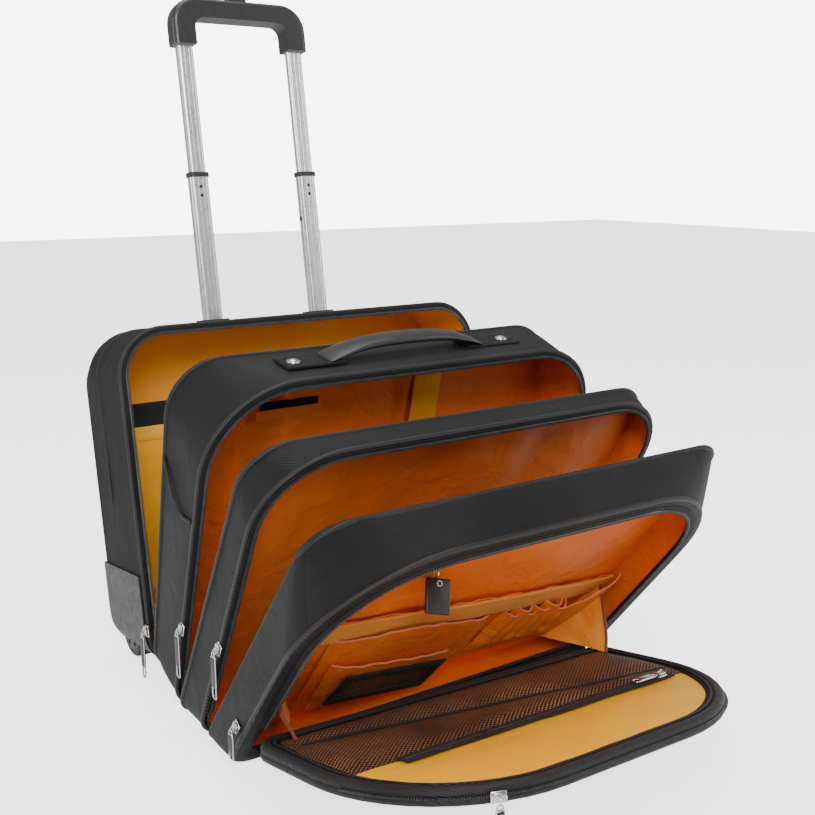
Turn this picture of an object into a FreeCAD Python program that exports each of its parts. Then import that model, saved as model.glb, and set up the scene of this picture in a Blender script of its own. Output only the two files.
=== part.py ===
import FreeCAD
import Part
import math
import os
from FreeCAD import Vector, Placement, Rotation

# Rolling laptop case, standing open on its wheels and section bases. Millimetres, +Z up.
# +X runs across the case and -Y is its front. The origin is on the floor, under the middle of its box.
# Every section is a tray of sewn fabric, and each one hinges forward at its base from the one behind it.

# ---- overall sizes
case_width = 440.0
shell_width = case_width - 5.0
shell_height = 341.0
shell_depth = 122.0
fabric_wall = 4.0
lining_thickness = 1.2
divider_thickness = 4.0
rim_gap = 3.6          # from a hinge plane to the fabric rim beside it; the zip half fills most of it
zip_thickness = 3.0
zip_width = 7.0
fit_gap = 0.4          # between pieces of two bodies that pass close by each other

# ---- how the case stands: base line (y, z) and lean of each hinge plane, leaning forward is positive
shell_base = (101.5, 26.0)
shell_lean = -9.4
section_a_base = shell_base
section_a_lean = 13.9
section_b_base = (43.0, 4.0)
section_a_front_lean = 18.96
section_b_lean = 29.8
section_c_base = (-14.0, 0.0)
section_b_front_lean = 27.6
section_c_lean = 38.6
section_c_thickness = 38.0

# ---- rim outlines: height along the plane and the radii of its upper and lower corners
shell_corner = 48.0
shell_lower_corner = 30.0
shell_back_lower_corner = 45.0
shell_back_upper_corner = 20.0
a_rear_height, a_rear_corner = 337.0, 50.0
a_front_height, a_front_corner = 355.0, 86.0
b_rear_height, b_rear_corner = 353.0, 42.0
b_front_height, b_front_corner = 340.0, 73.0
c_rear_height, c_rear_corner = 352.0, 36.0
c_front_height, c_front_corner = 344.0, 118.0
lower_corner = 30.0
base_strip_height = 36.0

# ---- opening of section C, measured up its front plane from the base line
c_opening_low, c_opening_high = 62.0, 331.0
c_opening_half_width = case_width / 2 - 17.0
c_opening_corner = 104.0
c_front_panel = 5.0
c_zip_end = 104.0
c_side_zip_depth, c_side_zip_high = -33.0, 220.0   # the zip ends come round onto the sides

# ---- organizer inside section C, measured from the middle and up the divider
pocket_half, pocket_low, pocket_high = case_width / 2 - 20.0, 62.0, 176.0
pocket_stand, pocket_cloth = 4.0, 1.5
window_low, window_high = (-118.0, 70.0), (10.0, 138.0)
pen_slot_count, pen_slot_pitch, pen_slot_width = 4, 19.0, 16.0
pen_slot_x, pen_slot_low, pen_slot_high, pen_slot_depth = 62.0, 64.0, 132.0, 6.3
key_clip_x, key_clip_up = -76.0, 262.0
fob_body, fob_loop_length = (23.0, 7.0, 31.0), 8.0

# ---- flap: hinge line, tilt and outline
flap_hinge = (-9.0, -111.0, 30.0)
flap_pitch = 10.8
flap_roll = 4.6
flap_yaw = 3.6
flap_width, flap_length = case_width - 14.0, 232.0
flap_corner, flap_hinge_corner = 140.0, 24.0
flap_core = 7.0
flap_binding_height = 13.0
flap_binding_width = 14.0
mesh_length = 125.0
mesh_inset = 17.0

# ---- wheels and kick plates
wheel_radius, wheel_width = 30.0, 20.0
wheel_x = shell_width / 2 - 18.0
wheel_back = 92.0
well_gap = 3.0
well_wall = 2.5
tyre_inner_radius = 22.0
bearing_outer_radius, bearing_width = 11.0, 7.0
axle_radius = 4.0
running_gap = 0.05
kick_plate_thickness = 2.4
kick_plate_height = 92.0
kick_plate_front = 14.0
kick_plate_inner_x = shell_width / 2 - 41.5
foot_radius, foot_back = 9.0, 22.0

# ---- trolley handle, measured in the shell's own leaning frame
tube_spacing = 137.5
tube_back = 109.0
tube_wall = 1.2
lower_tube = (22.0, 14.0)
slide_gap = 0.3
sleeve_low = 40.0
bracket_height = 11.0
stage_joint = 512.0
lower_tube_low = 262.0
upper_tube_low = 472.0
collar_height, collar_wall = 5.0, 1.4
rivet_proud = 0.2      # less than the slide gap, so the rivets pass into the sleeves
bezel_height, bezel_wall = 5.0, 6.0
grip_low, grip_top = 653.0, 705.0
grip_outer_half, grip_inner_half = 83.0, 57.0
grip_bar = 22.0
grip_depth = 24.0
grip_shoulder = 30.0
button_size = (24.0, 11.0, 9.0)
button_proud = 3.5

# ---- carry handle on section A
carry_centre_y = -25.0
carry_half_length = 80.0
carry_width, carry_thickness, carry_lift = 34.0, 8.0, 11.0
patch_length, patch_thickness = 48.0, 2.2
rivet_radius, rivet_height = 5.5, 3.2

# ---- zip sliders and pull tabs
slider_size = (5.2, 9.0, 13.0)
tab_size = (1.8, 8.0)
side_sliders = (
    ("shell", -3.0, 39.0, 48.0),
    ("section_a", 0.0, 103.5, 46.0),
    ("section_b", 0.0, 129.0, 44.0),
    ("section_c", 0.0, 99.0, 28.0),
)


os.makedirs("parts", exist_ok=True)


def export(name, shape):
    """Writes one node, and says how big it came out."""
    solids = shape.Solids
    whole = solids[0] if len(solids) == 1 else Part.makeCompound(solids)
    if not whole.isValid() or not solids:
        raise ValueError(name + " is not a valid solid")
    whole.exportStep("parts/" + name + ".step")
    print(name, len(solids), round(whole.Volume))


# ---- frames of the leaning planes: x across, y back and square to the plane, z up the plane
def plane_frame(base, lean):
    return Placement(Vector(0, base[0], base[1]), Rotation(Vector(1, 0, 0), lean))


def placed(shape, frame):
    moved = shape.copy()
    moved.Placement = frame.multiply(shape.Placement)
    return moved


shell_frame = plane_frame(shell_base, shell_lean)
a_rear_frame = plane_frame(section_a_base, section_a_lean)
a_front_frame = plane_frame(section_b_base, section_a_front_lean)
b_rear_frame = plane_frame(section_b_base, section_b_lean)
b_front_frame = plane_frame(section_c_base, section_b_front_lean)
c_rear_frame = plane_frame(section_c_base, section_c_lean)


# ---- outlines and basic solids
def rounded_outline(half_width, low, high, upper_radius, lower_radius, depth):
    """A closed rounded rectangle in the plane y = depth of a leaning frame."""
    w, u, d = half_width, upper_radius, lower_radius
    bulge = math.sqrt(0.5)

    def point(x, z):
        return Vector(x, depth, z)

    def corner(cx, cz, r, sx, sz):
        first = point(cx + sx[0] * r, cz + sz[0] * r)
        middle = point(cx + sx[1] * r * bulge, cz + sz[1] * r * bulge)
        last = point(cx + sx[2] * r, cz + sz[2] * r)
        return Part.Arc(first, middle, last).toShape()

    edges = [
        Part.makeLine(point(-w, low + d), point(-w, high - u)),
        corner(-w + u, high - u, u, (-1, -1, 0), (0, 1, 1)),
        Part.makeLine(point(-w + u, high), point(w - u, high)),
        corner(w - u, high - u, u, (0, 1, 1), (1, 1, 0)),
        Part.makeLine(point(w, high - u), point(w, low + d)),
        corner(w - d, low + d, d, (1, 1, 0), (0, -1, -1)),
        Part.makeLine(point(w - d, low), point(-w + d, low)),
        corner(-w + d, low + d, d, (0, -1, -1), (-1, -1, 0)),
    ]
    return Part.Wire(edges)


def outline_at(frame, rim, inset, depth):
    """A rim outline (half width, low, high, upper radius, lower radius), drawn in by inset."""
    half, low, high, upper, lower = rim
    wire = rounded_outline(half - inset, low + inset, high - inset, upper - inset, lower - inset, depth)
    return placed(wire, frame)


def loft(first, last):
    return Part.makeLoft([first, last], True, True)


def rim_ring(frame, rim, outer_inset, inner_inset, depth, thickness):
    """A flat ring that follows a rim, such as a zip tape with its chain."""
    along = frame.Rotation.multVec(Vector(0, thickness, 0))
    outer = Part.Face(outline_at(frame, rim, outer_inset, depth)).extrude(along)
    inner = Part.Face(outline_at(frame, rim, inner_inset, depth)).extrude(along)
    return outer.cut(inner)


def box_between(low, high):
    size = [high[i] - low[i] for i in range(3)]
    return Part.makeBox(size[0], size[1], size[2], Vector(*low))


def slab(frame, depth_low, depth_high):
    """All the space between two depths of a leaning frame."""
    reach = 900.0
    return placed(box_between((-reach, depth_low, -reach), (reach, depth_high, reach)), frame)


def x_cylinder(radius, x_low, x_high, y, z):
    return Part.makeCylinder(radius, x_high - x_low, Vector(x_low, y, z), Vector(1, 0, 0))


def rounded_bar(width, depth, low, high, x=0.0, back=0.0):
    """An upright bar with rounded long edges, such as a handle tube's outside."""
    bar = box_between((x - width / 2, back - depth / 2, low), (x + width / 2, back + depth / 2, high))
    uprights = [e for e in bar.Edges if abs(e.Length - (high - low)) < 1e-6 and is_upright(e)]
    return bar.makeFillet(min(width, depth) * 0.35, uprights)


def is_upright(edge):
    first, last = edge.Vertexes[0].Point, edge.Vertexes[-1].Point
    return abs(abs(first.z - last.z) - edge.Length) < 1e-6


def hollow_bar(width, depth, wall, low, high, x, back):
    outer = rounded_bar(width, depth, low, high, x, back)
    inner = rounded_bar(width - 2 * wall, depth - 2 * wall, low, high, x, back)
    return outer.cut(inner)


def both_sides(make):
    """The same solid on the left and on the right."""
    return Part.makeCompound([make(-1), make(1)])


# ---- section trays
def rim_of(height, upper_radius, low=0.0):
    return (case_width / 2, low, height, upper_radius, lower_corner)


def tray(rear_frame, rear_rim, front_frame, front_rim, front_depth):
    """Gusset, base, divider and lining of one section, open at the front."""
    rear_depth = -rim_gap
    outer = loft(outline_at(rear_frame, rear_rim, 0, rear_depth), outline_at(front_frame, front_rim, 0, front_depth))
    inner = loft(
        outline_at(rear_frame, rear_rim, fabric_wall, rear_depth),
        outline_at(front_frame, front_rim, fabric_wall, front_depth),
    )
    skin = fabric_wall + lining_thickness
    room = loft(
        outline_at(rear_frame, rear_rim, skin, rear_depth),
        outline_at(front_frame, front_rim, skin, front_depth),
    )
    ring = outer.cut(inner)
    divider_front = rear_depth - divider_thickness
    divider = inner.common(slab(rear_frame, divider_front, rear_depth + 1))
    ahead = slab(rear_frame, -900, divider_front)
    lining_front = slab(rear_frame, -900, divider_front - lining_thickness)
    lining = inner.common(ahead).cut(room.common(lining_front))
    below = placed(box_between((-500, -900, -200), (500, 200, base_strip_height)), rear_frame)
    base = ring.common(below)
    gusset = ring.cut(below)
    return gusset, base, divider, lining


def zip_pair(rear_frame, rear_rim, front_frame, front_rim, front_depth, inset=1.0):
    """The two zip halves of a section: the first meets the section behind it, the second the one ahead."""
    upper = zip_cutter(rear_frame)
    rear = rim_ring(rear_frame, rear_rim, inset, inset + zip_width, -rim_gap, zip_thickness).cut(upper)
    front_cut = zip_cutter(front_frame)
    front = rim_ring(front_frame, front_rim, inset, inset + zip_width, front_depth - zip_thickness, zip_thickness)
    return Part.makeCompound([rear, front.cut(front_cut)])


def zip_cutter(frame):
    """The stretch along the base, where no zip runs."""
    return placed(box_between((-500, -60, -100), (500, 60, base_strip_height)), frame)


a_rear_rim = rim_of(a_rear_height, a_rear_corner)
a_front_rim = rim_of(a_front_height, a_front_corner)
b_rear_rim = rim_of(b_rear_height, b_rear_corner)
b_front_rim = rim_of(b_front_height, b_front_corner)


def floor_line(depth):
    """How far up section C's rear plane a point at this depth has to be to lie on the floor."""
    return -depth * math.tan(math.radians(section_c_lean))


c_face_depth = -section_c_thickness - c_front_panel
c_rear_rim = rim_of(c_rear_height, c_rear_corner, floor_line(-rim_gap))
c_front_rim = rim_of(c_front_height, c_front_corner, floor_line(-section_c_thickness))
c_panel_rim = rim_of(c_front_height, c_front_corner, floor_line(c_face_depth))

a_gusset, a_base, a_divider, a_lining = tray(a_rear_frame, a_rear_rim, a_front_frame, a_front_rim, rim_gap)
b_gusset, b_base, b_divider, b_lining = tray(b_rear_frame, b_rear_rim, b_front_frame, b_front_rim, rim_gap)
a_zip = zip_pair(a_rear_frame, a_rear_rim, a_front_frame, a_front_rim, rim_gap)
b_zip = zip_pair(b_rear_frame, b_rear_rim, b_front_frame, b_front_rim, rim_gap)

# ---- section C: a thin tray whose front is a bordered panel with a big rounded opening
c_gusset, c_base, c_divider, c_lining = tray(
    c_rear_frame, c_rear_rim, c_rear_frame, c_front_rim, -section_c_thickness
)
c_panel = Part.Face(outline_at(c_rear_frame, c_panel_rim, 0, c_face_depth))
c_panel = c_panel.extrude(c_rear_frame.Rotation.multVec(Vector(0, c_front_panel, 0)))
opening_rim = (c_opening_half_width, c_opening_low, c_opening_high, c_opening_corner, 8.0)
opening_tool = Part.Face(outline_at(c_rear_frame, opening_rim, 0, c_face_depth - 30))
opening_tool = opening_tool.extrude(c_rear_frame.Rotation.multVec(Vector(0, 60, 0)))
c_border = c_panel.cut(opening_tool)
c_zip_rear = rim_ring(c_rear_frame, c_rear_rim, 1.0, 1.0 + zip_width, -rim_gap, zip_thickness)
c_zip_front = rim_ring(c_rear_frame, opening_rim, -zip_width, 0.5, c_face_depth - zip_thickness, zip_thickness)
c_zip_low = placed(box_between((-500, -200, -100), (500, 60, c_zip_end)), c_rear_frame)
c_zip_ends = placed(both_sides(lambda side: box_between(
    (min(side * case_width / 2, side * (case_width / 2 - 1)), c_side_zip_depth - 3.5, 64.0),
    (max(side * case_width / 2, side * (case_width / 2 - 1)), c_side_zip_depth + 3.5, c_side_zip_high),
)), c_rear_frame)
c_gusset = c_gusset.cut(c_zip_ends)
c_zip = Part.makeCompound([c_zip_rear.cut(zip_cutter(c_rear_frame)), c_zip_front.cut(c_zip_low), c_zip_ends])

# ---- organizer pockets on section C's divider, sewn in along their lower edge
organizer_depth = -rim_gap - divider_thickness - lining_thickness


def on_divider(x_low, x_high, low, high, near, far):
    """A flat piece standing off section C's lining by near to far."""
    return placed(box_between((x_low, organizer_depth - far, low), (x_high, organizer_depth - near, high)), c_rear_frame)


pocket_front = pocket_stand + pocket_cloth
c_pocket_panel = on_divider(-pocket_half, pocket_half, pocket_low, pocket_high, pocket_stand, pocket_front)
c_pocket_seam = on_divider(-pocket_half, pocket_half, pocket_low - 4.0, pocket_low, 0.0, pocket_front)
c_pocket_panel = c_pocket_panel.fuse(c_pocket_seam).removeSplitter()
window_thickness = 1.7
window_pocket = on_divider(
    window_low[0], window_high[0], window_low[1], window_high[1], pocket_front, pocket_front + window_thickness
)
small_pockets = [window_pocket]
for slot in range(pen_slot_count):
    slot_x = pen_slot_x + pen_slot_pitch * slot
    small_pockets.append(on_divider(
        slot_x, slot_x + pen_slot_width, pen_slot_low, pen_slot_high, pocket_front, pocket_front + pen_slot_depth
    ))
c_small_pockets = Part.makeCompound(small_pockets)

fob_pin = c_rear_frame.multVec(Vector(key_clip_x, organizer_depth - 4.0, key_clip_up))
fob_low = fob_pin.z - fob_loop_length - fob_body[2]
key_fob = box_between(
    (key_clip_x - fob_body[0] / 2, fob_pin.y - fob_body[1] / 2, fob_low),
    (key_clip_x + fob_body[0] / 2, fob_pin.y + fob_body[1] / 2, fob_low + fob_body[2]),
)
fob_loop = box_between(
    (key_clip_x - 3.0, fob_pin.y - 1.0, fob_low + fob_body[2]), (key_clip_x + 3.0, fob_pin.y + 1.0, fob_pin.z)
)
key_fob = key_fob.fuse(fob_loop).removeSplitter()

# ---- shell, in its own leaning frame
shell_rim = (shell_width / 2, 0.0, shell_height, shell_corner, shell_lower_corner)


def side_profile(inset, back_face):
    """The shell's outline seen from the side, rounded at its two back corners, swept across its width."""
    low, high = inset, shell_height - inset
    front = rim_gap
    r_low = shell_back_lower_corner - inset
    r_high = shell_back_upper_corner - inset
    half = math.sqrt(0.5)
    reach = 400.0

    def point(y, z):
        return Vector(-reach, y, z)

    edges = [
        Part.makeLine(point(front, low), point(back_face - r_low, low)),
        Part.Arc(
            point(back_face - r_low, low),
            point(back_face - r_low + r_low * half, low + r_low - r_low * half),
            point(back_face, low + r_low),
        ).toShape(),
        Part.makeLine(point(back_face, low + r_low), point(back_face, high - r_high)),
        Part.Arc(
            point(back_face, high - r_high),
            point(back_face - r_high + r_high * half, high - r_high + r_high * half),
            point(back_face - r_high, high),
        ).toShape(),
        Part.makeLine(point(back_face - r_high, high), point(front, high)),
        Part.makeLine(point(front, high), point(front, low)),
    ]
    return Part.Face(Part.Wire(edges)).extrude(Vector(2 * reach, 0, 0))


def shell_solid(inset):
    """The shell's outer form drawn in by inset on every side but its open front."""
    half, low, high, upper, lower = shell_rim
    outline = rounded_outline(half - inset, low + inset, high - inset, upper - inset, lower - inset, rim_gap)
    prism = Part.Face(outline).extrude(Vector(0, shell_depth, 0))
    return prism.common(side_profile(inset, shell_depth - inset))


wheel_up = (wheel_radius - shell_base[1] + math.sin(math.radians(-shell_lean)) * wheel_back) / math.cos(
    math.radians(shell_lean)
)
shell_outer = shell_solid(0)
shell_inner = shell_solid(fabric_wall)
well_half = wheel_width / 2 + well_gap
well_radius = wheel_radius + well_gap


def wheel_well(extra, side):
    """The round space of one wheel well, drawn out by extra."""
    half = well_half + extra
    return x_cylinder(well_radius + extra, side * wheel_x - half, side * wheel_x + half, wheel_back, wheel_up)


wells = both_sides(lambda side: wheel_well(well_wall, side))
shell_ring = shell_outer.cut(shell_inner).cut(wells)
back_zone = box_between((-500, shell_depth - fabric_wall, shell_back_lower_corner), (500, 500, 500))
lower_zone = box_between((-500, -100, -100), (500, 500, shell_back_lower_corner))
shell_back = shell_ring.common(back_zone)
shell_base_panel = shell_ring.cut(back_zone).common(lower_zone)
shell_gusset = shell_ring.cut(back_zone).cut(lower_zone)

lining_back = tube_back - lower_tube[1] / 2 - tube_wall - slide_gap - 1.5
lined_space = box_between((-500, 0, 0), (500, lining_back, 500))
room_space = box_between((-500, 0, 0), (500, lining_back - lining_thickness, 500))
shell_room = shell_solid(fabric_wall + lining_thickness)
well_skin = both_sides(lambda side: wheel_well(well_wall + lining_thickness, side))
shell_lining = shell_inner.cut(wells).common(lined_space).cut(shell_room.cut(well_skin).common(room_space))
pocket_x = shell_width / 2 - fabric_wall - lining_thickness
shell_pocket = box_between((-pocket_x + 6.0, 16, 60), (-pocket_x + 7.5, lining_back - 8, 245))
pocket_hem = box_between((-pocket_x + 0.2, 16, 56), (-pocket_x + 7.5, lining_back - 8, 60))
shell_pocket = shell_pocket.fuse(pocket_hem).removeSplitter()
shell_zip = rim_ring(Placement(), shell_rim, 1.0, 1.0 + zip_width, rim_gap - zip_thickness, zip_thickness)
shell_zip = shell_zip.cut(box_between((-500, -60, -100), (500, 60, base_strip_height)))

# ---- handle holes, sleeves, bezels and bracket
tube_xs = (-tube_spacing / 2, tube_spacing / 2)
sleeve = (lower_tube[0] + 2 * (slide_gap + tube_wall), lower_tube[1] + 2 * (slide_gap + tube_wall))
upper_tube = (lower_tube[0] - 2 * (tube_wall + slide_gap), lower_tube[1] - 2 * (tube_wall + slide_gap))
sleeve_top = shell_height
handle_sleeves = Part.makeCompound(
    [hollow_bar(sleeve[0], sleeve[1], tube_wall, sleeve_low, sleeve_top, x, tube_back) for x in tube_xs]
)
for x in tube_xs:
    shell_gusset = shell_gusset.cut(rounded_bar(sleeve[0], sleeve[1], sleeve_low, sleeve_top + 20, x, tube_back))
    shell_back = shell_back.cut(rounded_bar(sleeve[0], sleeve[1], sleeve_low, sleeve_top + 20, x, tube_back))
bezel_gap = 0.6
bezels = []
for x in tube_xs:
    plate = rounded_bar(sleeve[0] + 2 * bezel_wall, sleeve[1] + 2 * 2.0, sleeve_top, sleeve_top + bezel_height, x, tube_back)
    hole = rounded_bar(
        lower_tube[0] + 2 * bezel_gap, lower_tube[1] + 2 * bezel_gap, sleeve_top, sleeve_top + bezel_height, x, tube_back
    )
    bezels.append(plate.cut(hole))
bracket_half = tube_spacing / 2 + sleeve[0] / 2 + 4.0
handle_bracket = box_between(
    (-bracket_half, lining_back + 0.2, sleeve_low - bracket_height),
    (bracket_half, lining_back + 0.2 + 12.0, sleeve_low),
).common(shell_inner)

# ---- kick plates with their wheel wells, axles and feet
guard_outer = shell_solid(-kick_plate_thickness)
guard = guard_outer.cut(shell_outer)
kick_plates = []
for side in (-1, 1):
    x_range = sorted((side * kick_plate_inner_x, side * 400))
    zone = box_between((x_range[0], kick_plate_front, -100), (x_range[1], 400, kick_plate_height))
    well = wheel_well(well_wall, side).common(guard_outer)
    plate = guard.common(zone).fuse(well).cut(wheel_well(0, side))
    axle_hole = x_cylinder(axle_radius, side * wheel_x - 400, side * wheel_x + 400, wheel_back, wheel_up)
    span = box_between(
        (side * wheel_x - well_half - well_wall, 0, -100), (side * wheel_x + well_half + well_wall, 300, 200)
    )
    kick_plates.append(plate.cut(axle_hole.common(span)).removeSplitter())
axle_half = well_half + well_wall
wheel_axles = both_sides(
    lambda side: x_cylinder(axle_radius, side * wheel_x - axle_half, side * wheel_x + axle_half, wheel_back, wheel_up)
)
foot_low = wheel_up - wheel_radius
shell_feet = both_sides(
    lambda side: Part.makeCone(
        foot_radius - 2, foot_radius, -foot_low, Vector(side * (wheel_x - 14), foot_back, foot_low)
    )
)
guard_cutter = guard.common(box_between((-400, kick_plate_front, -100), (400, 400, kick_plate_height)))
shell_feet = shell_feet.cut(guard_cutter)


def wheel(side):
    """Hub, tyre and the two bearings of one wheel, about an axle across the case."""
    low, high = side * wheel_x - wheel_width / 2, side * wheel_x + wheel_width / 2
    tyre = x_cylinder(wheel_radius, low, high, wheel_back, wheel_up)
    tyre = tyre.makeFillet(4.0, [e for e in tyre.Edges if abs(e.Length - 2 * math.pi * wheel_radius) < 0.5])
    tyre = tyre.cut(x_cylinder(tyre_inner_radius, low, high, wheel_back, wheel_up))
    hub = x_cylinder(tyre_inner_radius, low, high, wheel_back, wheel_up)
    hub = hub.cut(x_cylinder(axle_radius + 2.0, low, high, wheel_back, wheel_up))
    bearings = []
    for start in (low, high - bearing_width):
        seat = x_cylinder(bearing_outer_radius, start, start + bearing_width, wheel_back, wheel_up)
        hub = hub.cut(seat)
        bore = x_cylinder(axle_radius + running_gap, start, start + bearing_width, wheel_back, wheel_up)
        bearings.append(seat.cut(bore))
    for turn in range(6):
        angle = math.radians(60 * turn)
        radius = (tyre_inner_radius + bearing_outer_radius) / 2
        hole_y, hole_z = wheel_back + radius * math.cos(angle), wheel_up + radius * math.sin(angle)
        hub = hub.cut(x_cylinder(3.2, low, high, hole_y, hole_z))
    return hub, tyre, Part.makeCompound(bearings)


# ---- telescopic handle
lower_tubes = Part.makeCompound(
    [hollow_bar(*lower_tube, tube_wall, lower_tube_low, stage_joint - collar_height, x, tube_back) for x in tube_xs]
)
collars, rivets, lock_studs = [], [], []
for x in tube_xs:
    outer = rounded_bar(
        lower_tube[0] + 2 * collar_wall, lower_tube[1] + 2 * collar_wall, stage_joint - collar_height, stage_joint, x, tube_back
    )
    hole = rounded_bar(
        upper_tube[0] + 2 * slide_gap, upper_tube[1] + 2 * slide_gap, stage_joint - collar_height, stage_joint, x, tube_back
    )
    collars.append(outer.cut(hole))
    face = tube_back - lower_tube[1] / 2
    for drop in (16.0, 26.0):
        rivets.append(Part.makeCylinder(2.0, rivet_proud, Vector(x, face - rivet_proud, stage_joint - drop), Vector(0, 1, 0)))
    inner_face = x - math.copysign(lower_tube[0] / 2, x)
    outward = Vector(-math.copysign(1, x), 0, 0)
    lock_studs.append(Part.makeCylinder(3.2, rivet_proud, Vector(inner_face, tube_back, stage_joint - 55.0), outward))
upper_tubes = Part.makeCompound(
    [hollow_bar(*upper_tube, tube_wall, upper_tube_low, grip_low, x, tube_back) for x in tube_xs]
)
grip = box_between(
    (-grip_outer_half, tube_back - grip_depth / 2, grip_low), (grip_outer_half, tube_back + grip_depth / 2, grip_top)
)
grip_gap = box_between(
    (-grip_inner_half, tube_back - grip_depth, grip_low - 1), (grip_inner_half, tube_back + grip_depth, grip_top - grip_bar)
)
gap_edges = [e for e in grip_gap.Edges if abs(e.BoundBox.YLength - 2 * grip_depth) < 0.1 and e.BoundBox.ZMax > grip_low]
grip_gap = grip_gap.makeFillet(12.0, gap_edges)
shoulder_edges = [e for e in grip.Edges if abs(e.BoundBox.YLength - grip_depth) < 0.1 and e.BoundBox.ZMax > grip_top - 1]
grip = grip.makeFillet(grip_shoulder, shoulder_edges)
long_edges = [e for e in grip.Edges if e.BoundBox.YLength < 0.1 and e.BoundBox.ZMax > grip_low + 1]
grip = grip.makeFillet(6.0, long_edges).cut(grip_gap)
button_low = grip_top - button_size[2] + button_proud
button = box_between(
    (-button_size[0] / 2, tube_back - button_size[1] / 2, button_low),
    (button_size[0] / 2, tube_back + button_size[1] / 2, grip_top + button_proud),
)
button = button.makeFillet(1.5, [e for e in button.Edges if is_upright(e)])
button_travel = 2.5
pocket = box_between(
    (-button_size[0] / 2 - fit_gap, tube_back - button_size[1] / 2 - fit_gap, button_low - button_travel - fit_gap),
    (button_size[0] / 2 + fit_gap, tube_back + button_size[1] / 2 + fit_gap, grip_top + 10),
)
grip = grip.cut(pocket)

# ---- carry handle: an arched pad between two stitched patches, on section A's top
top_slope = math.degrees(math.atan2(
    a_rear_frame.multVec(Vector(0, 0, a_rear_height)).z - a_front_frame.multVec(Vector(0, 0, a_front_height)).z,
    a_rear_frame.multVec(Vector(0, 0, a_rear_height)).y - a_front_frame.multVec(Vector(0, 0, a_front_height)).y,
))
top_rear = a_rear_frame.multVec(Vector(0, -rim_gap, a_rear_height))
top_front = a_front_frame.multVec(Vector(0, rim_gap, a_front_height))
share = (top_rear.y - carry_centre_y) / (top_rear.y - top_front.y)
carry_z = top_rear.z + (top_front.z - top_rear.z) * share + 0.25
carry_frame = Placement(Vector(0, carry_centre_y, carry_z), Rotation(Vector(1, 0, 0), top_slope))
patch_outer = carry_half_length + patch_length


def carry_patch(side):
    x_range = sorted((side * carry_half_length, side * patch_outer))
    return box_between((x_range[0], -carry_width / 2, 0), (x_range[1], carry_width / 2, patch_thickness))


def carry_profile():
    """The pad's side view: down at both ends, lifted between them."""
    rise, run = carry_lift, 26.0
    top = patch_thickness + carry_thickness
    half = carry_half_length
    points = [
        (-half, patch_thickness), (-half + 12, patch_thickness), (-half + run, rise), (half - run, rise),
        (half - 12, patch_thickness), (half, patch_thickness), (half, patch_thickness + 5),
        (half - run + 4, rise + carry_thickness), (-half + run - 4, rise + carry_thickness),
        (-half, patch_thickness + 5),
    ]
    corners = [Vector(x, -carry_width / 2, z) for x, z in points]
    return Part.Face(Part.makePolygon(corners + corners[:1])).extrude(Vector(0, carry_width, 0))


ends = both_sides(lambda side: box_between(
    (min(side * (carry_half_length - 12), side * carry_half_length), -carry_width / 2, 0),
    (max(side * (carry_half_length - 12), side * carry_half_length), carry_width / 2, patch_thickness),
))
carry_handle = placed(carry_profile().fuse(ends).removeSplitter(), carry_frame)
handle_patches = placed(both_sides(carry_patch), carry_frame)
rivet_x = carry_half_length + patch_length - 9.0
handle_rivets = both_sides(lambda side: Part.makeSphere(
    rivet_radius, Vector(side * rivet_x, 0, patch_thickness - rivet_radius + rivet_height)
).common(box_between((-500, -50, patch_thickness), (500, 50, 50))))
handle_rivets = placed(handle_rivets, carry_frame)

# ---- flap: a padded panel with a thick edge binding, hinged at section C's lower front edge
roll_turn = Rotation(Vector(0, 1, 0), flap_roll)
yaw_turn = Rotation(Vector(0, 0, 1), flap_yaw)
pitch_turn = Rotation(Vector(1, 0, 0), 90 - flap_pitch)
flap_frame = Placement(Vector(*flap_hinge), yaw_turn.multiply(roll_turn).multiply(pitch_turn))
flap_rim = (flap_width / 2, 0.0, flap_length, flap_corner, flap_hinge_corner)


def flap_layer(inset, low, high, cut_inset=None):
    """A layer of the flap between two heights over its underside."""
    shape = Part.Face(outline_at(Placement(), flap_rim, inset, low)).extrude(Vector(0, high - low, 0))
    if cut_inset is not None:
        shape = shape.cut(Part.Face(outline_at(Placement(), flap_rim, cut_inset, low)).extrude(Vector(0, high - low, 0)))
    return shape


binding_low, binding_high = -flap_binding_height / 2, flap_binding_height / 2
flap_binding = flap_layer(0, binding_low, binding_high, flap_binding_width)
flap_panel_low = binding_low + 1.5
flap_panel = flap_layer(flap_binding_width, flap_panel_low, flap_panel_low + flap_core)
lining_low = flap_panel_low + flap_core
mesh_pocket = flap_layer(mesh_inset, lining_low, lining_low + 1.2).common(
    box_between((-400, -100, -100), (400, 100, mesh_length))
)
mesh_zip = box_between((-135, lining_low + 1.6, mesh_length + 1.0), (168, lining_low + 3.6, mesh_length + 8.0))
front_zip = flap_layer(-2.0, -2.5, 2.5, 0.0).common(box_between((-165, -50, 120), (165, 50, 400)))
mesh_slider = box_between((152, lining_low + 4.0, mesh_length - 1), (165, lining_low + 8.0, mesh_length + 9.5))
mesh_pull = box_between((119.5, lining_low + 5.4, mesh_length + 1.5), (151.0, lining_low + 7.4, mesh_length + 7.5))
front_slider_x = -133.0

# ---- side gussets between section C and the flap: thin triangles near the hinge
gusset_x, gusset_thickness = 188.0, 1.6
gusset_rise, gusset_reach = 78.0, 84.0


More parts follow.
